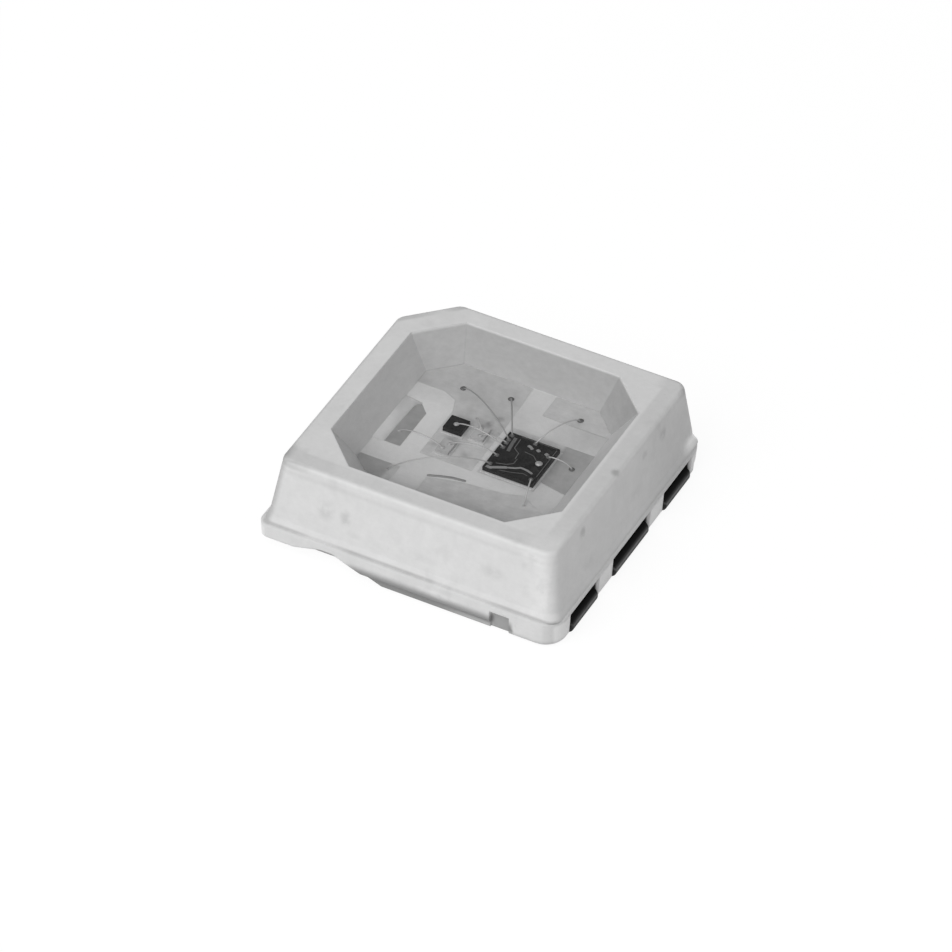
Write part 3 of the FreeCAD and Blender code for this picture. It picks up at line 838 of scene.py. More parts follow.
@dataclass(frozen=True)
class LeadMetal:
    """Plated strip: bright in the window, dark where it leaves the body, partly tarnish and partly
    painted dark reflection.
    """

    bright: float = 0.74
    # Outside: a dark tone, partly tarnish and partly painted dark reflection, black painted shade at
    # the top and a painted highlight band.
    dark: float = 0.03
    gap_shade_tone: float = 0.008
    gap_shade: Flat = (0.205, 0.24)
    highlight_streak: Stripe = Stripe(0.15, 0.19, 0.02)
    streak_gain: float = 0.20
    inside: Flat = (0.45, 0.6)
    left_root: Flat = (-0.98, -1.06)
    left_root_end: Flat = (0.75, 0.6)
    left_root_loss: float = 0.40
    front_root: Flat = (-0.9, -1.0)
    front_root_gain: float = 0.12
    right_root: Flat = (1.02, 1.10)
    right_root_span: Stripe = Stripe(-0.7, 0.65, 0.05)
    right_root_loss: float = 0.36
    backward: Flat = (0.1, 1.0)
    backward_loss: float = 0.08
    leftward: Flat = (0.2, -0.3)
    leftward_loss: float = 0.07
    grain: Mottle = Mottle(9.0, 3, 0.6, 0.16)
    rolling_outside: float = 0.05
    rolling_inside: float = 0.10
    rolling_depth: float = 0.002
    pits: Flat = (0.5, 0.75)
    pit_loss: float = 0.03
    spot_contrast: float = 0.22
    metallic: float = 0.4
    index: float = 1.25
    roughness: float = 0.5
    roughness_spread: float = 0.2
    stains: tuple[Smudge, ...] = (
        Smudge((-0.08, 0.68, 0.64), (0.09, 0.09, 0.3), 0.20),
        Smudge((-0.17, 0.51, 0.64), (0.09, 0.09, 0.3), 0.20),
        Smudge((0.02, 0.38, 0.64), (0.08, 0.10, 0.3), 0.20),
        Smudge((-0.48, 0.0, 0.64), (0.10, 0.08, 0.3), 0.16),
        Smudge((0.0, 0.16, 0.64), (0.08, 0.10, 0.3), 0.16),
        Smudge((-0.24, 0.40, 0.64), (0.08, 0.06, 0.3), 0.14),
        Smudge((-0.70, -0.35, 0.64), (0.12, 0.14, 0.3), 0.14),
        Smudge((-0.15, -0.30, 0.64), (0.14, 0.12, 0.3), 0.14),
        Smudge((-0.12, 0.55, 0.64), (0.30, 0.34, 0.3), 0.09),
        Smudge((-0.55, 0.72, 0.64), (0.14, 0.18, 0.3), 0.08),
        Smudge((1.15, -0.05, 0.64), (0.12, 0.10, 0.3), 0.12),
        Smudge((0.62, -1.35, 0.64), (0.4, 0.16, 0.3), 0.08),
    )

    def exit_tone(self, ink: Ink, spot: Signal, rolled: Signal, spots: Signal) -> Signal:
        """Tone of the strip where it leaves the body: dark, partly tarnish and partly painted dark
        reflection, with a painted highlight band and black painted shade above it.

        Args:
            ink: writer of the finish.
            spot: position in millimetres.
            rolled: rolling marks, from 0 to 1.
            spots: spots, from 0 to 1.

        Returns:
            The tone.
        """
        z = ink.parts(spot)[2]
        # Painted highlight band across the folded nose of the lead.
        highlight_streak = z.band(self.highlight_streak) * ink.cloud(ink.squeeze(spot, (1, 3, 12)), 1.5, 2)
        tone = self.dark + rolled * self.rolling_outside - spots.ramp(self.pits) * self.pit_loss
        tone = tone + highlight_streak * self.streak_gain
        # Black painted shade in the gap above the lead, under the body.
        gap_shade = z.ramp(self.gap_shade)
        return tone * (1 - gap_shade) + gap_shade * self.gap_shade_tone

    def pad_tone(self, ink: Ink, spot: Signal, rolled: Signal, spots: Signal) -> Signal:
        """Tone of the bright pads in the window, with painted shade towards the side walls and towards
        the back.

        Args:
            ink: writer of the finish.
            spot: position in millimetres.
            rolled: rolling marks, from 0 to 1.
            spots: spots, from 0 to 1.

        Returns:
            The tone.
        """
        x, y, _ = ink.parts(spot)
        # Painted shade where the pads run towards the left and right walls.
        left = self.left_root_loss - y.ramp(self.front_root) * self.front_root_gain
        left = x.ramp(self.left_root) * y.ramp(self.left_root_end) * left
        right = x.ramp(self.right_root) * y.band(self.right_root_span) * self.right_root_loss
        tone = self.bright + (spots - 0.5) * self.spot_contrast
        tone = tone + (rolled - 0.5) * self.rolling_inside
        tone = ink.marked(tone, spot, self.stains) + ink.mottle(spot, self.grain)
        # Painted shade towards the back, more so on the left.
        duller = self.backward_loss + x.ramp(self.leftward) * self.leftward_loss
        tone = tone * (1 - y.ramp(self.backward) * duller)
        return tone * (1 - left - right)

    def dress(self) -> bpy.types.Material:
        """Builds the material.

        Returns:
            The material.
        """
        ink = Ink("lead_metal")
        spot = ink.place()
        rolled = ink.cloud(ink.squeeze(spot, (2.0, 14.0, 14.0)), 2.0, 3)
        spots = ink.cloud(spot, 5.0, 3)
        outer = self.exit_tone(ink, spot, rolled, spots)
        inner = self.pad_tone(ink, spot, rolled, spots)
        inside = ink.parts(spot)[2].ramp(self.inside)
        return ink.finish(
            ink.surface(
                Base_Color=ink.grey(outer + (inner - outer) * inside),
                Metallic=self.metallic,
                IOR=self.index,
                Roughness=self.roughness + rolled * self.roughness_spread,
                Normal=ink.bump(rolled, self.rolling_depth),
            )
        )


@dataclass(frozen=True)
class Silicon:
    """Polished dark chip with faint blocks of circuit."""

    tone: float = 0.003
    contrast: float = 0.012
    blocks: float = 9.0
    index: float = 1.1
    roughness: float = 0.3
    roughness_spread: float = 0.15
    relief: float = 0.001

    def dress(self) -> bpy.types.Material:
        """Builds the material.

        Returns:
            The material.
        """
        ink = Ink("silicon")
        spot = ink.place()
        cells = ink.node(
            "ShaderNodeTexVoronoi",
            {"distance": "CHEBYCHEV", "feature": "F1"},
            {"Vector": spot, "Scale": self.blocks, "Randomness": 0.8},
            out="Color",
        )
        block = ink.parts(cells)[0]
        fine = ink.cloud(spot, 24.0, 3)
        tone = self.tone + block * self.contrast + fine.ramp((0.5, 0.7)) * self.contrast
        return ink.finish(
            ink.surface(
                Base_Color=ink.grey(tone),
                Roughness=self.roughness + fine * self.roughness_spread,
                IOR=self.index,
                Normal=ink.bump(block, self.relief),
            )
        )


@dataclass(frozen=True)
class ClearChip:
    """Pale translucent emitter chip, close in tone to the pad below it."""

    tone: float = 0.47
    tone_spread: float = 0.1
    index: float = 1.2
    roughness: float = 0.25
    roughness_spread: float = 0.2
    relief: float = 0.001

    def dress(self) -> bpy.types.Material:
        """Builds the material.

        Returns:
            The material.
        """
        ink = Ink("clear_chip")
        spot = ink.place()
        haze = ink.cloud(spot, 12.0, 2)
        return ink.finish(
            ink.surface(
                Base_Color=ink.grey(self.tone + haze * self.tone_spread),
                IOR=self.index,
                Roughness=self.roughness + haze * self.roughness_spread,
                Normal=ink.bump(haze, self.relief),
            )
        )


@dataclass(frozen=True)
class DieAdhesive:
    """Filled adhesive squeezed out under a chip."""

    tone: float = 0.60
    tone_spread: float = 0.16
    roughness: float = 0.4
    roughness_spread: float = 0.25
    relief: float = 0.003

    def dress(self) -> bpy.types.Material:
        """Builds the material.

        Returns:
            The material.
        """
        ink = Ink("die_adhesive")
        spot = ink.place()
        flake = ink.cloud(spot, 18.0, 3)
        return ink.finish(
            ink.surface(
                Base_Color=ink.grey(self.tone + flake * self.tone_spread),
                Roughness=self.roughness + flake * self.roughness_spread,
                Normal=ink.bump(flake, self.relief),
            )
        )


@dataclass(frozen=True)
class DrawnMetal:
    """Thin metal of one tone: wire, chip tracks, marks or a dark strip on the floor."""

    name: str
    tone: float
    sheen: float
    tone_spread: float = 0.12
    roughness: float = 0.42
    roughness_spread: float = 0.2
    relief: float = 0.0008

    def dress(self) -> bpy.types.Material:
        """Builds the material.

        Returns:
            The material.
        """
        ink = Ink(self.name)
        spot = ink.place()
        drawn = ink.cloud(spot, 20.0, 2)
        return ink.finish(
            ink.surface(
                Base_Color=ink.grey(self.tone + drawn * self.tone_spread),
                Metallic=self.sheen,
                Roughness=self.roughness + drawn * self.roughness_spread,
                Normal=ink.bump(drawn, self.relief),
            )
        )


class Thin(Enum):
    """The thin metals of the part."""

    TRACKS = DrawnMetal("chip_tracks", 0.26, 0.4)
    PADS = DrawnMetal("chip_pads", 0.07, 0.2)
    CONTACTS = DrawnMetal("chip_metal", 0.46, 0.7)
    WIRE = DrawnMetal("bond_wire", 0.54, 0.3)
    SHADED_WIRE = DrawnMetal("bond_shaded", 0.30, 0.2)
    MARKS = DrawnMetal("bond_stitch", 0.07, 0.2)
    DARK_STRIP = DrawnMetal("floor_dark_strip", 0.30, 0.0)


Finishes = dict[Thin, bpy.types.Material]


# Studio


@dataclass(frozen=True)
class Lamp:
    """A square soft lamp that faces the part, in degrees, metres and watts.

    Azimuth and elevation are those of a viewpoint; away is how far it stands
    and side is the length of its edge.
    """

    name: str
    azimuth: float
    elevation: float
    away: float
    side: float
    power: float


@dataclass
class Studio:
    """Camera, floor, lamp and surroundings."""

    azimuth: float = 25.29
    elevation: float = 40.66
    roll: float = 2.59
    distance: float = 112.36
    target_height: float = 0.131
    lens: float = 282.9
    sensor: float = 36.0
    clip: Flat = (0.001, 10.0)
    shift: Flat = (-0.00642, 0.02203)
    key: Lamp = Lamp("key_lamp", -10.0, 49.0, 0.15, 0.12, 0.133)
    sky: float = 0.335
    paper_tone: float = 0.8
    paper_fibre: float = 0.02
    paper_glow: float = 1.08
    glow_share: float = 0.85
    paper_half: float = 300.0
    paper_drop: float = 0.01

    def back(self, azimuth: float, elevation: float) -> Vector:
        """Unit vector from the part towards a viewpoint, angles in degrees."""
        a, e = math.radians(azimuth), math.radians(elevation)
        return Vector(
            (math.sin(a) * math.cos(e), -math.cos(a) * math.cos(e), math.sin(e))
        )

    def camera(self) -> None:
        """Makes the camera at the picture's viewpoint."""
        data = bpy.data.cameras.new("camera")
        data.lens, data.sensor_width = self.lens, self.sensor
        data.shift_x, data.shift_y = self.shift
        data.clip_start, data.clip_end = self.clip
        eye = bpy.data.objects.new("camera", data)
        bpy.context.scene.collection.objects.link(eye)
        bpy.context.scene.camera = eye
        back = self.back(self.azimuth, self.elevation)
        right = Vector((0, 0, 1)).cross(back).normalized()
        up = back.cross(right)
        turn = Matrix.Rotation(math.radians(self.roll), 3, back)
        right, up = turn @ right, turn @ up
        eye.rotation_euler = Matrix((right, up, back)).transposed().to_euler()
        eye.location = back * self.distance * MM + Vector((0, 0, self.target_height * MM))

    def lamp(self, plan: Lamp) -> None:
        """Adds a lamp.

        Args:
            plan: what the lamp is like and where it stands.
        """
        data = bpy.data.lights.new(plan.name, "AREA")
        data.shape, data.size, data.energy = "SQUARE", plan.side, plan.power
        lamp = bpy.data.objects.new(plan.name, data)
        bpy.context.scene.collection.objects.link(lamp)
        back = self.back(plan.azimuth, plan.elevation)
        lamp.location = back * plan.away
        lamp.rotation_euler = back.to_track_quat("Z", "Y").to_euler()

    def paper(self) -> bpy.types.Material:
        """White paper: bright to the camera, a plain diffuse sheet to the part.

        Returns:
            The material.
        """
        ink = Ink("white_paper")
        tone = self.paper_tone + ink.cloud(ink.place(), 0.2, 2) * self.paper_fibre
        sheet = ink.node("ShaderNodeBsdfDiffuse", None, {"Color": ink.grey(tone)})
        glow = {"Color": (1, 1, 1, 1), "Strength": self.paper_glow}
        glow = ink.node("ShaderNodeEmission", None, glow)
        seen = ink.seen("Is Camera Ray", "Is Transmission Ray", "Is Glossy Ray")
        mixed = {0: seen * self.glow_share, 1: sheet, 2: glow}
        return ink.finish(ink.node("ShaderNodeMixShader", None, mixed))

    def floor(self) -> None:
        """Lays the paper under the part."""
        half = self.paper_half * MM
        mesh = bpy.data.meshes.new("paper_floor")
        mesh.from_pydata(
            [(-half, -half, 0), (half, -half, 0), (half, half, 0), (-half, half, 0)],
            [],
            [(0, 1, 2, 3)],
        )
        sheet = bpy.data.objects.new("paper_floor", mesh)
        bpy.context.scene.collection.objects.link(sheet)
        sheet.location.z = -self.paper_drop * MM
        mesh.materials.append(self.paper())

    def surroundings(self) -> None:
        """Even grey sky for the light, white where the camera sees it."""
        world = bpy.data.worlds.new("studio_sky")
        bpy.context.scene.world = world
        world.use_nodes = True
        tree = world.node_tree
        tree.nodes.clear()
        out = tree.nodes.new("ShaderNodeOutputWorld")
        mix = tree.nodes.new("ShaderNodeMixShader")
        path = tree.nodes.new("ShaderNodeLightPath")
        tree.links.new(path.outputs["Is Camera Ray"], mix.inputs[0])
        for place, strength in ((1, self.sky), (2, 1.0)):
            light = tree.nodes.new("ShaderNodeBackground")
            light.inputs["Color"].default_value = (1, 1, 1, 1)
            light.inputs["Strength"].default_value = strength
            tree.links.new(light.outputs[0], mix.inputs[place])
        tree.links.new(mix.outputs[0], out.inputs["Surface"])

    def build(self) -> None:
        """Sets up the whole studio."""
        scene = bpy.context.scene
        scene.view_settings.view_transform = "Standard"
        self.camera()
        self.floor()
        self.surroundings()
        self.lamp(self.key)
        LOG.info("studio ready")


# Pieces


def publish(
    name: str, work: bmesh.types.BMesh, material: bpy.types.Material, smooth: bool = True
) -> bpy.types.Object:
    """Turns a finished mesh in millimetres into a piece that rides on the part.

    Args:
        name: what the piece is called.
        work: the mesh, freed afterwards.
        material: its finish.
        smooth: whether its faces are shaded smooth.

    Returns:
        The new object.
    """
    bmesh.ops.recalc_face_normals(work, faces=work.faces[:])
    for face in work.faces:
        face.smooth = smooth
    bmesh.ops.scale(work, vec=(MM, MM, MM), verts=work.verts[:])
    mesh = bpy.data.meshes.new(name)
    work.to_mesh(mesh)
    work.free()
    mesh.materials.append(material)
    piece = bpy.data.objects.new(name, mesh)
    bpy.context.scene.collection.objects.link(piece)
    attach(piece, "root")
    LOG.info("%s: %d faces", name, len(mesh.polygons))
    return piece


def dress_node(name: str, material: bpy.types.Material) -> None:
    """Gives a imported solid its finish.

    Args:
        name: node of the solid.
        material: its finish.
    """
    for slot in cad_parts[name].material_slots:
        slot.material = material
    LOG.info("%s dressed", name)


def skin(work: bmesh.types.BMesh, rows: Sequence[Sequence[bmesh.types.BMVert]]) -> None:
    """Closes a stack of equal rings into a solid.

    Args:
        work: mesh that receives the faces.
        rows: rings of corners, from the bottom to the top.
    """
    count = len(rows[0])
    for lower, upper in zip(rows, rows[1:]):
        for k in range(count):
            n = (k + 1) % count
            work.faces.new((lower[k], lower[n], upper[n], upper[k]))
    work.faces.new(list(reversed(rows[0])))
    work.faces.new(rows[-1])


def lathe(
    work: bmesh.types.BMesh, middle: Point, profile: Sequence[Flat], sides: int = 16
) -> None:
    """Adds a turned form on an upright axis.

    Args:
        work: mesh that receives it.
        middle: point of the axis that heights are measured from.
        profile: pairs of radius and height, from the bottom to the top.
        sides: number of sides.
    """
    x, y, z = middle
    rows = []
    for radius, height in profile:
        row = []
        for k in range(sides):
            turn = math.tau * k / sides
            spot = (x + radius * math.cos(turn), y + radius * math.sin(turn), z + height)
            row.append(work.verts.new(spot))
        rows.append(row)
    skin(work, rows)


def tube(work: bmesh.types.BMesh, line: Sequence[Vector], radius: float, sides: int = 8) -> None:
    """Adds a round bar along a line.

    Args:
        work: mesh that receives it.
        line: points of its middle line.
        radius: its radius.
        sides: number of sides.
    """
    rows = []
    for k, here in enumerate(line):
        ahead = line[min(k + 1, len(line) - 1)] - line[max(k - 1, 0)]
        across = ahead.cross(Vector((0, 0, 1))).normalized()
        over = across.cross(ahead).normalized()
        row = []
        for n in range(sides):
            turn = math.tau * n / sides
            out = across * (radius * math.cos(turn)) + over * (radius * math.sin(turn))
            row.append(work.verts.new(here + out))
        rows.append(row)
    skin(work, rows)


def plate(
    work: bmesh.types.BMesh, corners: Sequence[Flat], low: float, high: float, ease: float
) -> None:
    """Adds a thin plate with eased corners and a sloping edge.

    Args:
        work: mesh that receives it.
        corners: its outline, counterclockwise.
        low: height of its underside.
        high: height of its top.
        ease: how far its corners are cut; the top edge is drawn in by about a third of it.
    """
    outline: list[Vector] = []
    count = len(corners)
    for k in range(count):
        before, here, after = (Vector(corners[(k + d) % count]) for d in (-1, 0, 1))
        for other in (before, after):
            gap = other - here
            outline.append(here + gap.normalized() * min(ease, gap.length * 0.4))
    middle = sum(outline, Vector((0, 0))) / len(outline)
    rows = []
    for height, inset in ((low, 0.0), ((low + high) / 2, 0.0), (high, ease * 0.35)):
        row = []
        for spot in outline:
            inward = (middle - spot).normalized() * inset
            row.append(work.verts.new((*(spot + inward), height)))
        rows.append(row)
    skin(work, rows)


def square(middle: Flat, side: float) -> list[Flat]:
    """Corners of a square, counterclockwise."""
    signs = ((-0.5, -0.5), (0.5, -0.5), (0.5, 0.5), (-0.5, 0.5))
    return [(middle[0] + a * side, middle[1] + b * side) for a, b in signs]


@dataclass(frozen=True)
class Track:
    """A flat strip of one width along a line of points."""

    width: float
    line: tuple[Flat, ...]

    def outline(self) -> list[Flat]:
        """Draws its edges.

        Returns:
            The outline, counterclockwise.
        """
        left: list[Flat] = []
        right: list[Flat] = []
        last = len(self.line) - 1
        for k, spot in enumerate(self.line):
            ahead = Vector(self.line[min(k + 1, last)]) - Vector(self.line[max(k - 1, 0)])
            side = Vector((-ahead.y, ahead.x)).normalized() * (self.width / 2)
            left.append(tuple(Vector(spot) + side))
            right.append(tuple(Vector(spot) - side))
        return right + list(reversed(left))


@dataclass
class Window:
    """Clear resin cast into the cavity, whose face climbs a little at the wall."""

    half_top: float = 1.92
    leg_top: float = 0.63
    draft: float = 19.5
    face: float = 1.60
    overlap: float = 0.012
    climb: float = 0.018
    climb_share: float = 0.06
    rings: int = 14
    crowding: float = 1.6
    inmost: float = 0.02
    side_parts: int = 4
    crease: float = 30.0

    def outline(self, z: float) -> list[Flat]:
        """Eight-sided section of the cavity, moved out by the overlap.

        Args:
            z: height of the section.

        Returns:
            Its corners, counterclockwise.
        """
        inset = (LEVELS.rim - z) * math.tan(math.radians(self.draft)) - self.overlap
        half = self.half_top - inset
        across = (2 * self.half_top - self.leg_top) / math.sqrt(2) - inset
        side = across * math.sqrt(2) - half
        corners: list[Flat] = []
        for c, s in ((1, 0), (0, 1), (-1, 0), (0, -1)):
            corners += [(c * u - s * v, s * u + c * v) for u, v in ((half, side), (side, half))]
        return corners

    def ring(
        self, work: bmesh.types.BMesh, corners: Sequence[Flat], height: float
    ) -> list[bmesh.types.BMVert]:
        """Adds one closed row of points.

        Args:
            work: mesh that receives them.
            corners: the row's corners; each side is divided in equal parts.
            height: height of the row.

        Returns:
            The new points.
        """
        row = []
        for (x0, y0), (x1, y1) in zip(corners, list(corners[1:]) + [corners[0]]):
            for k in range(self.side_parts):
                t = k / self.side_parts
                row.append(work.verts.new((x0 + (x1 - x0) * t, y0 + (y1 - y0) * t, height)))
        return row

    def build(self, material: bpy.types.Material) -> None:
        """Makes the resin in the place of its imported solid.

        Args:
            material: finish of the resin.
        """
        work = bmesh.new()
        low = LEVELS.floor - self.overlap
        edge = self.outline(self.face)
        rows = [self.ring(work, self.outline(low), low), self.ring(work, edge, self.face + self.climb)]
        for k in range(1, self.rings):
            inward = (1 - self.inmost) * (k / self.rings) ** self.crowding
            lift = self.climb * math.exp(-inward / self.climb_share)
            corners = [(x * (1 - inward), y * (1 - inward)) for x, y in edge]
            rows.append(self.ring(work, corners, self.face + lift))
        skin(work, rows)
        piece = publish("resin_window", work, material)
        piece.data.set_sharp_from_angle(angle=math.radians(self.crease))
        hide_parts("resin_fill")


@dataclass
class Chips:
    """Top faces of the four chips: bond pads, tracks and electrodes."""

    sunk: float = 0.002
    track_film: float = 0.004
    pad_film: float = 0.003
    thin_film: float = 0.002
    ease: float = 0.010
    thin_ease: float = 0.004
    pad_side: float = 0.07
    broad_tracks: tuple[Track, ...] = (
        Track(0.050, ((0.60, 0.255), (0.66, 0.235), (0.70, 0.20))),
        Track(0.055, ((0.76, 0.235), (0.82, 0.205))),
        Track(0.060, ((0.91, 0.215), (0.97, 0.185))),
        Track(0.055, ((0.26, -0.465), (0.33, -0.475), (0.40, -0.43), (0.47, -0.395), (0.56, -0.35))),
        Track(0.038, ((0.56, -0.35), (0.66, -0.31), (0.74, -0.255), (0.84, -0.265), (0.95, -0.30))),
    )
    dim_tracks: tuple[Track, ...] = (
        Track(0.055, ((0.365, 0.32), (0.375, 0.16), (0.395, -0.01))),
        Track(0.014, ((0.44, 0.33), (0.45, 0.10), (0.56, 0.02), (0.57, -0.12))),
        Track(0.012, ((0.62, 0.10), (0.78, 0.08), (0.86, 0.00), (0.90, -0.02))),
        Track(0.012, ((0.36, -0.34), (0.52, -0.29), (0.60, -0.22), (0.60, -0.10))),
        Track(0.012, ((0.48, -0.46), (0.66, -0.42), (0.82, -0.36), (0.90, -0.37))),
        Track(0.010, ((1.03, 0.36), (1.03, -0.34))),
        Track(0.010, ((0.42, 0.385), (1.02, 0.385))),
    )
    contact: Flat = (0.93, -0.045)
    contact_profile: tuple[Flat, ...] = (
        (0.050, 0.0), (0.058, 0.008), (0.056, 0.016), (0.040, 0.026), (0.012, 0.031),
    )
    ring_profile: tuple[Flat, ...] = (
        (0.040, 0.0), (0.044, 0.003), (0.040, 0.006), (0.030, 0.006), (0.026, 0.004), (0.01, 0.004),
    )
    disc_profile: tuple[Flat, ...] = (
        (0.036, -0.001), (0.038, 0.002), (0.034, 0.004), (0.01, 0.004),
    )

    def driver(self, finishes: Finishes) -> None:
        """Makes the tracks, the pads and the one bright contact of the driver chip.

        Args:
            finishes: the thin metals.
        """
        top = LEVELS.dark_chip
        low = top - self.sunk
        work = bmesh.new()
        for track in self.broad_tracks:
            plate(work, track.outline(), low, top + self.track_film, self.ease)
        piece = publish("driver_tracks", work, finishes[Thin.TRACKS], smooth=False)
        work = bmesh.new()
        for spot in DRIVER_PADS.values():
            plate(work, square(spot, self.pad_side), low, top + self.pad_film, self.ease)
        for track in self.dim_tracks:
            plate(work, track.outline(), low, top + self.thin_film, self.thin_ease)
        piece = publish("driver_pads", work, finishes[Thin.PADS], smooth=False)
        work = bmesh.new()
        lathe(work, (*self.contact, top), self.contact_profile, 20)
        piece = publish("driver_contact", work, finishes[Thin.CONTACTS])

    def emitters(self, finishes: Finishes) -> None:
        """Makes the red chip's ring electrode and two small ones on each pale chip.

        Args:
            finishes: the thin metals.
        """
        work = bmesh.new()
        lathe(work, (*RED_PAD, LEVELS.dark_chip), self.ring_profile, 24)
        piece = publish("red_electrode", work, finishes[Thin.CONTACTS])
        work = bmesh.new()
        for spot in CLEAR_PADS.values():
            lathe(work, (*spot, LEVELS.clear_chip), self.disc_profile)
        piece = publish("clear_electrodes", work, finishes[Thin.CONTACTS])

    def build(self, finishes: Finishes) -> None:
        """Makes every chip's top face."""
        self.driver(finishes)
        self.emitters(finishes)


class Seat(Enum):
    """What a wire's end is bonded to, with the height of that face."""

    DARK_CHIP = LEVELS.dark_chip
    CLEAR_CHIP = LEVELS.clear_chip
    FLOOR = LEVELS.floor


@dataclass(frozen=True)
class Bond:
    """One end of a wire."""

    seat: Seat
    spot: Flat

    def point(self, lift: float = 0.0) -> Point:
        """Its place, raised by lift."""
        return (*self.spot, self.seat.value + lift)


def on_driver(pad: str) -> Bond:
    """The bond on a named pad of the driver chip."""
    return Bond(Seat.DARK_CHIP, DRIVER_PADS[pad])


def on_clear(pad: str) -> Bond:
    """The bond on a named pad of a pale chip."""
    return Bond(Seat.CLEAR_CHIP, CLEAR_PADS[pad])


def on_floor(x: float, y: float) -> Bond:
    """A bond on the floor of the cavity."""
    return Bond(Seat.FLOOR, (x, y))


@dataclass(frozen=True)
class Run:
    """One bond wire from its ball to its stitch."""

    name: str
    ball: Bond
    stitch: Bond
    shaded: bool = False
    dented: bool = False


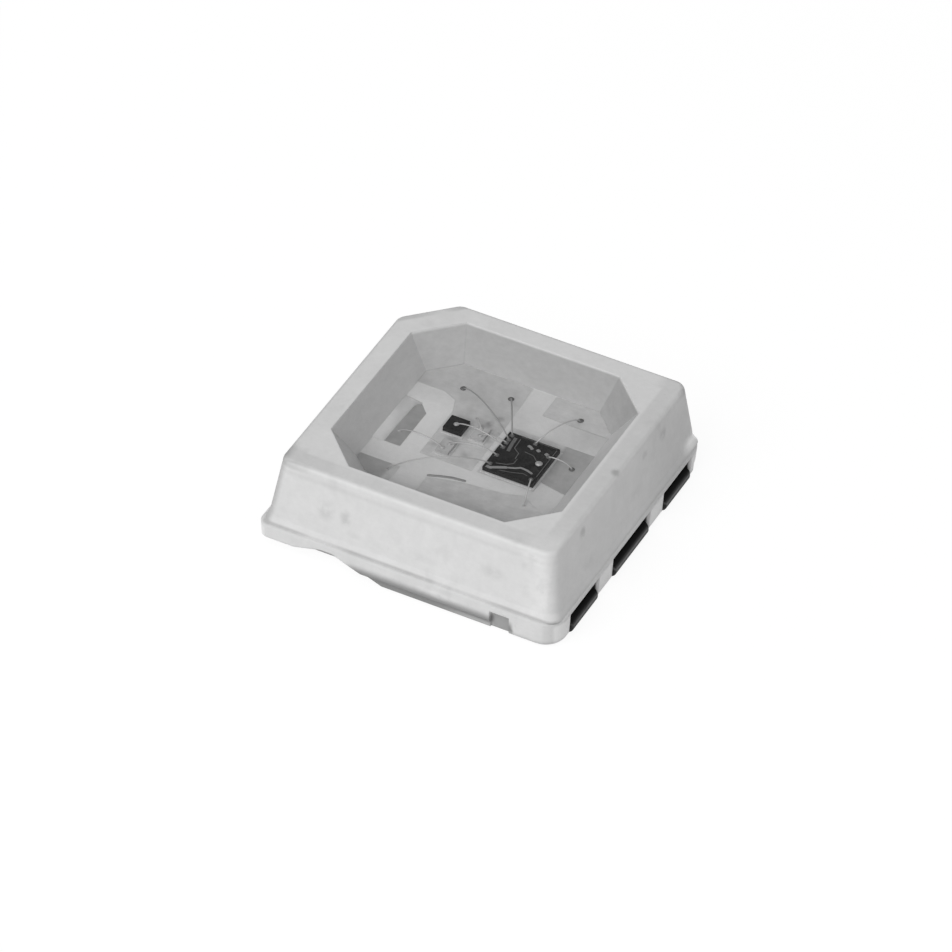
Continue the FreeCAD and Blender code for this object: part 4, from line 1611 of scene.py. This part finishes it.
@dataclass
class Wires:
    """Bond wires: ball, loop and flattened stitch, each in its node's place."""

    lift: float = 0.018
    radius: float = 0.01225
    half_sweep: float = 50.0
    segments: int = 18
    ball: tuple[Flat, ...] = (
        (0.026, 0.0), (0.033, 0.005), (0.035, 0.012), (0.032, 0.019), (0.022, 0.026), (0.014, 0.030),
    )
    stitch: tuple[Flat, ...] = ((0.029, 0.0), (0.028, 0.006), (0.018, 0.016), (0.010, 0.024))
    dent: tuple[Flat, ...] = (
        (0.044, 0.0), (0.050, 0.004), (0.045, 0.016), (0.030, 0.029), (0.01, 0.034),
    )
    runs: tuple[Run, ...] = (
        Run(
            "wire_driver_left_back", on_driver("left_back"), on_floor(-0.15, 1.18),
            shaded=True, dented=True,
        ),
        Run("wire_driver_right_back", on_driver("right_back"), on_floor(0.99, 1.24), dented=True),
        Run(
            "wire_driver_back_corner", on_driver("back_corner"), on_floor(-0.89, 1.05),
            shaded=True, dented=True,
        ),
        Run("wire_driver_right_front", on_driver("right_front"), on_floor(1.13, -0.92)),
        Run("wire_driver_right_mid", on_driver("right_mid"), on_floor(1.38, 0.17), dented=True),
        Run("wire_driver_red", on_driver("red"), Bond(Seat.DARK_CHIP, RED_PAD)),
        Run("wire_driver_green", on_driver("green"), on_clear("green_in")),
        Run("wire_green_left_back", on_clear("green_out"), on_floor(-0.39, 0.52)),
        Run("wire_driver_blue", on_driver("blue"), on_clear("blue_in")),
        Run("wire_blue_left_mid", on_clear("blue_out"), on_floor(-1.28, -0.29)),
        Run("wire_driver_left_front", on_driver("left_front"), on_floor(-1.03, -1.18)),
    )

    def loop(self, start: Vector, end: Vector) -> list[Vector]:
        """Runs an arc between two bonded ends.

        Args:
            start: middle of the ball.
            end: middle of the stitch.

        Returns:
            Points of the arc.
        """
        chord = end - start
        flat = Vector((chord.x, chord.y, 0)).normalized()
        lean = math.atan2(-chord.z, Vector((chord.x, chord.y)).length)
        along = chord.normalized()
        upward = flat * math.sin(lean) + Vector((0, 0, math.cos(lean)))
        sweep = math.radians(self.half_sweep)
        bend = chord.length / 2 / math.sin(sweep)
        centre = (start + end) / 2 - upward * bend * math.cos(sweep)
        turns = [sweep * (2 * k / self.segments - 1) for k in range(self.segments + 1)]
        return [centre + (along * math.sin(t) + upward * math.cos(t)) * bend for t in turns]

    def build(self, finishes: Finishes) -> None:
        """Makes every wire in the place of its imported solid.

        The dark balls on the driver chip and the dents around four stitches
        are gathered in a piece of their own.

        Args:
            finishes: the thin metals.
        """
        marks = bmesh.new()
        for run in self.runs:
            work = bmesh.new()
            if run.dented:
                lathe(marks, run.stitch.point(), self.dent)
            first, last = Vector(run.ball.point(self.lift)), Vector(run.stitch.point(self.lift))
            tube(work, self.loop(first, last), self.radius)
            dark = run.ball.seat is Seat.DARK_CHIP
            lathe(marks if dark else work, run.ball.point(), self.ball)
            lathe(work, run.stitch.point(), self.stitch)
            finish = finishes[Thin.SHADED_WIRE if run.shaded else Thin.WIRE]
            piece = publish(run.name + "_drawn", work, finish)
            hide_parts(run.name)
        piece = publish("bond_marks", marks, finishes[Thin.MARKS])


@dataclass
class Flash:
    """Thin skin of moulding that runs over the root of one pad, and a thin dark strip on the floor."""

    sunk: float = 0.004
    height: float = 0.012
    ease: float = 0.03
    patch: tuple[Flat, ...] = (
        (-1.62, -0.64), (-1.37, -0.61), (-1.365, -0.2), (-1.345, 0.36), (-1.24, 0.44), (-1.62, 0.50),
    )
    dark_line: Track = Track(0.05, ((-0.45, -1.00), (-0.28, -0.93), (-0.10, -0.87), (0.12, -0.84)))
    dark_line_height: float = 0.006
    dark_line_ease: float = 0.01

    def build(self, moulding: bpy.types.Material, gap: bpy.types.Material) -> None:
        """Lays the skin and the dark strip on the floor of the cavity.

        Args:
            moulding: finish of the skin.
            gap: finish of the dark strip.
        """
        floor = LEVELS.floor
        work = bmesh.new()
        plate(work, self.patch, floor - self.sunk, floor + self.height, self.ease)
        piece = publish("moulding_flash", work, moulding)
        work = bmesh.new()
        plate(work, self.dark_line.outline(), floor - self.sunk, floor + self.dark_line_height, self.dark_line_ease)
        piece = publish("floor_dark_line", work, gap)


LEADS = tuple(f"lead_{side}_{spot}" for side in ("left", "right") for spot in ("front", "mid", "back"))
DARK_DIES = ("driver", "red")
CLEAR_DIES = ("green", "blue")


def main() -> None:
    """Builds the studio and every piece in order."""
    logging.basicConfig(level=logging.INFO, format="%(name)s: %(message)s")
    Studio().build()
    moulding = WhiteMoulding().dress()
    dress_node("housing", moulding)
    Window().build(ClearResin().dress())
    metal = LeadMetal().dress()
    for name in LEADS:
        dress_node(name, metal)
    glue = DieAdhesive().dress()
    for dies, chip in ((DARK_DIES, Silicon().dress()), (CLEAR_DIES, ClearChip().dress())):
        for die in dies:
            dress_node(die + "_die", chip)
            dress_node(die + "_attach", glue)
    finishes = {thin: thin.value.dress() for thin in Thin}
    Chips().build(finishes)
    Wires().build(finishes)
    Flash().build(moulding, finishes[Thin.DARK_STRIP])


if __name__ == "__main__":
    main()
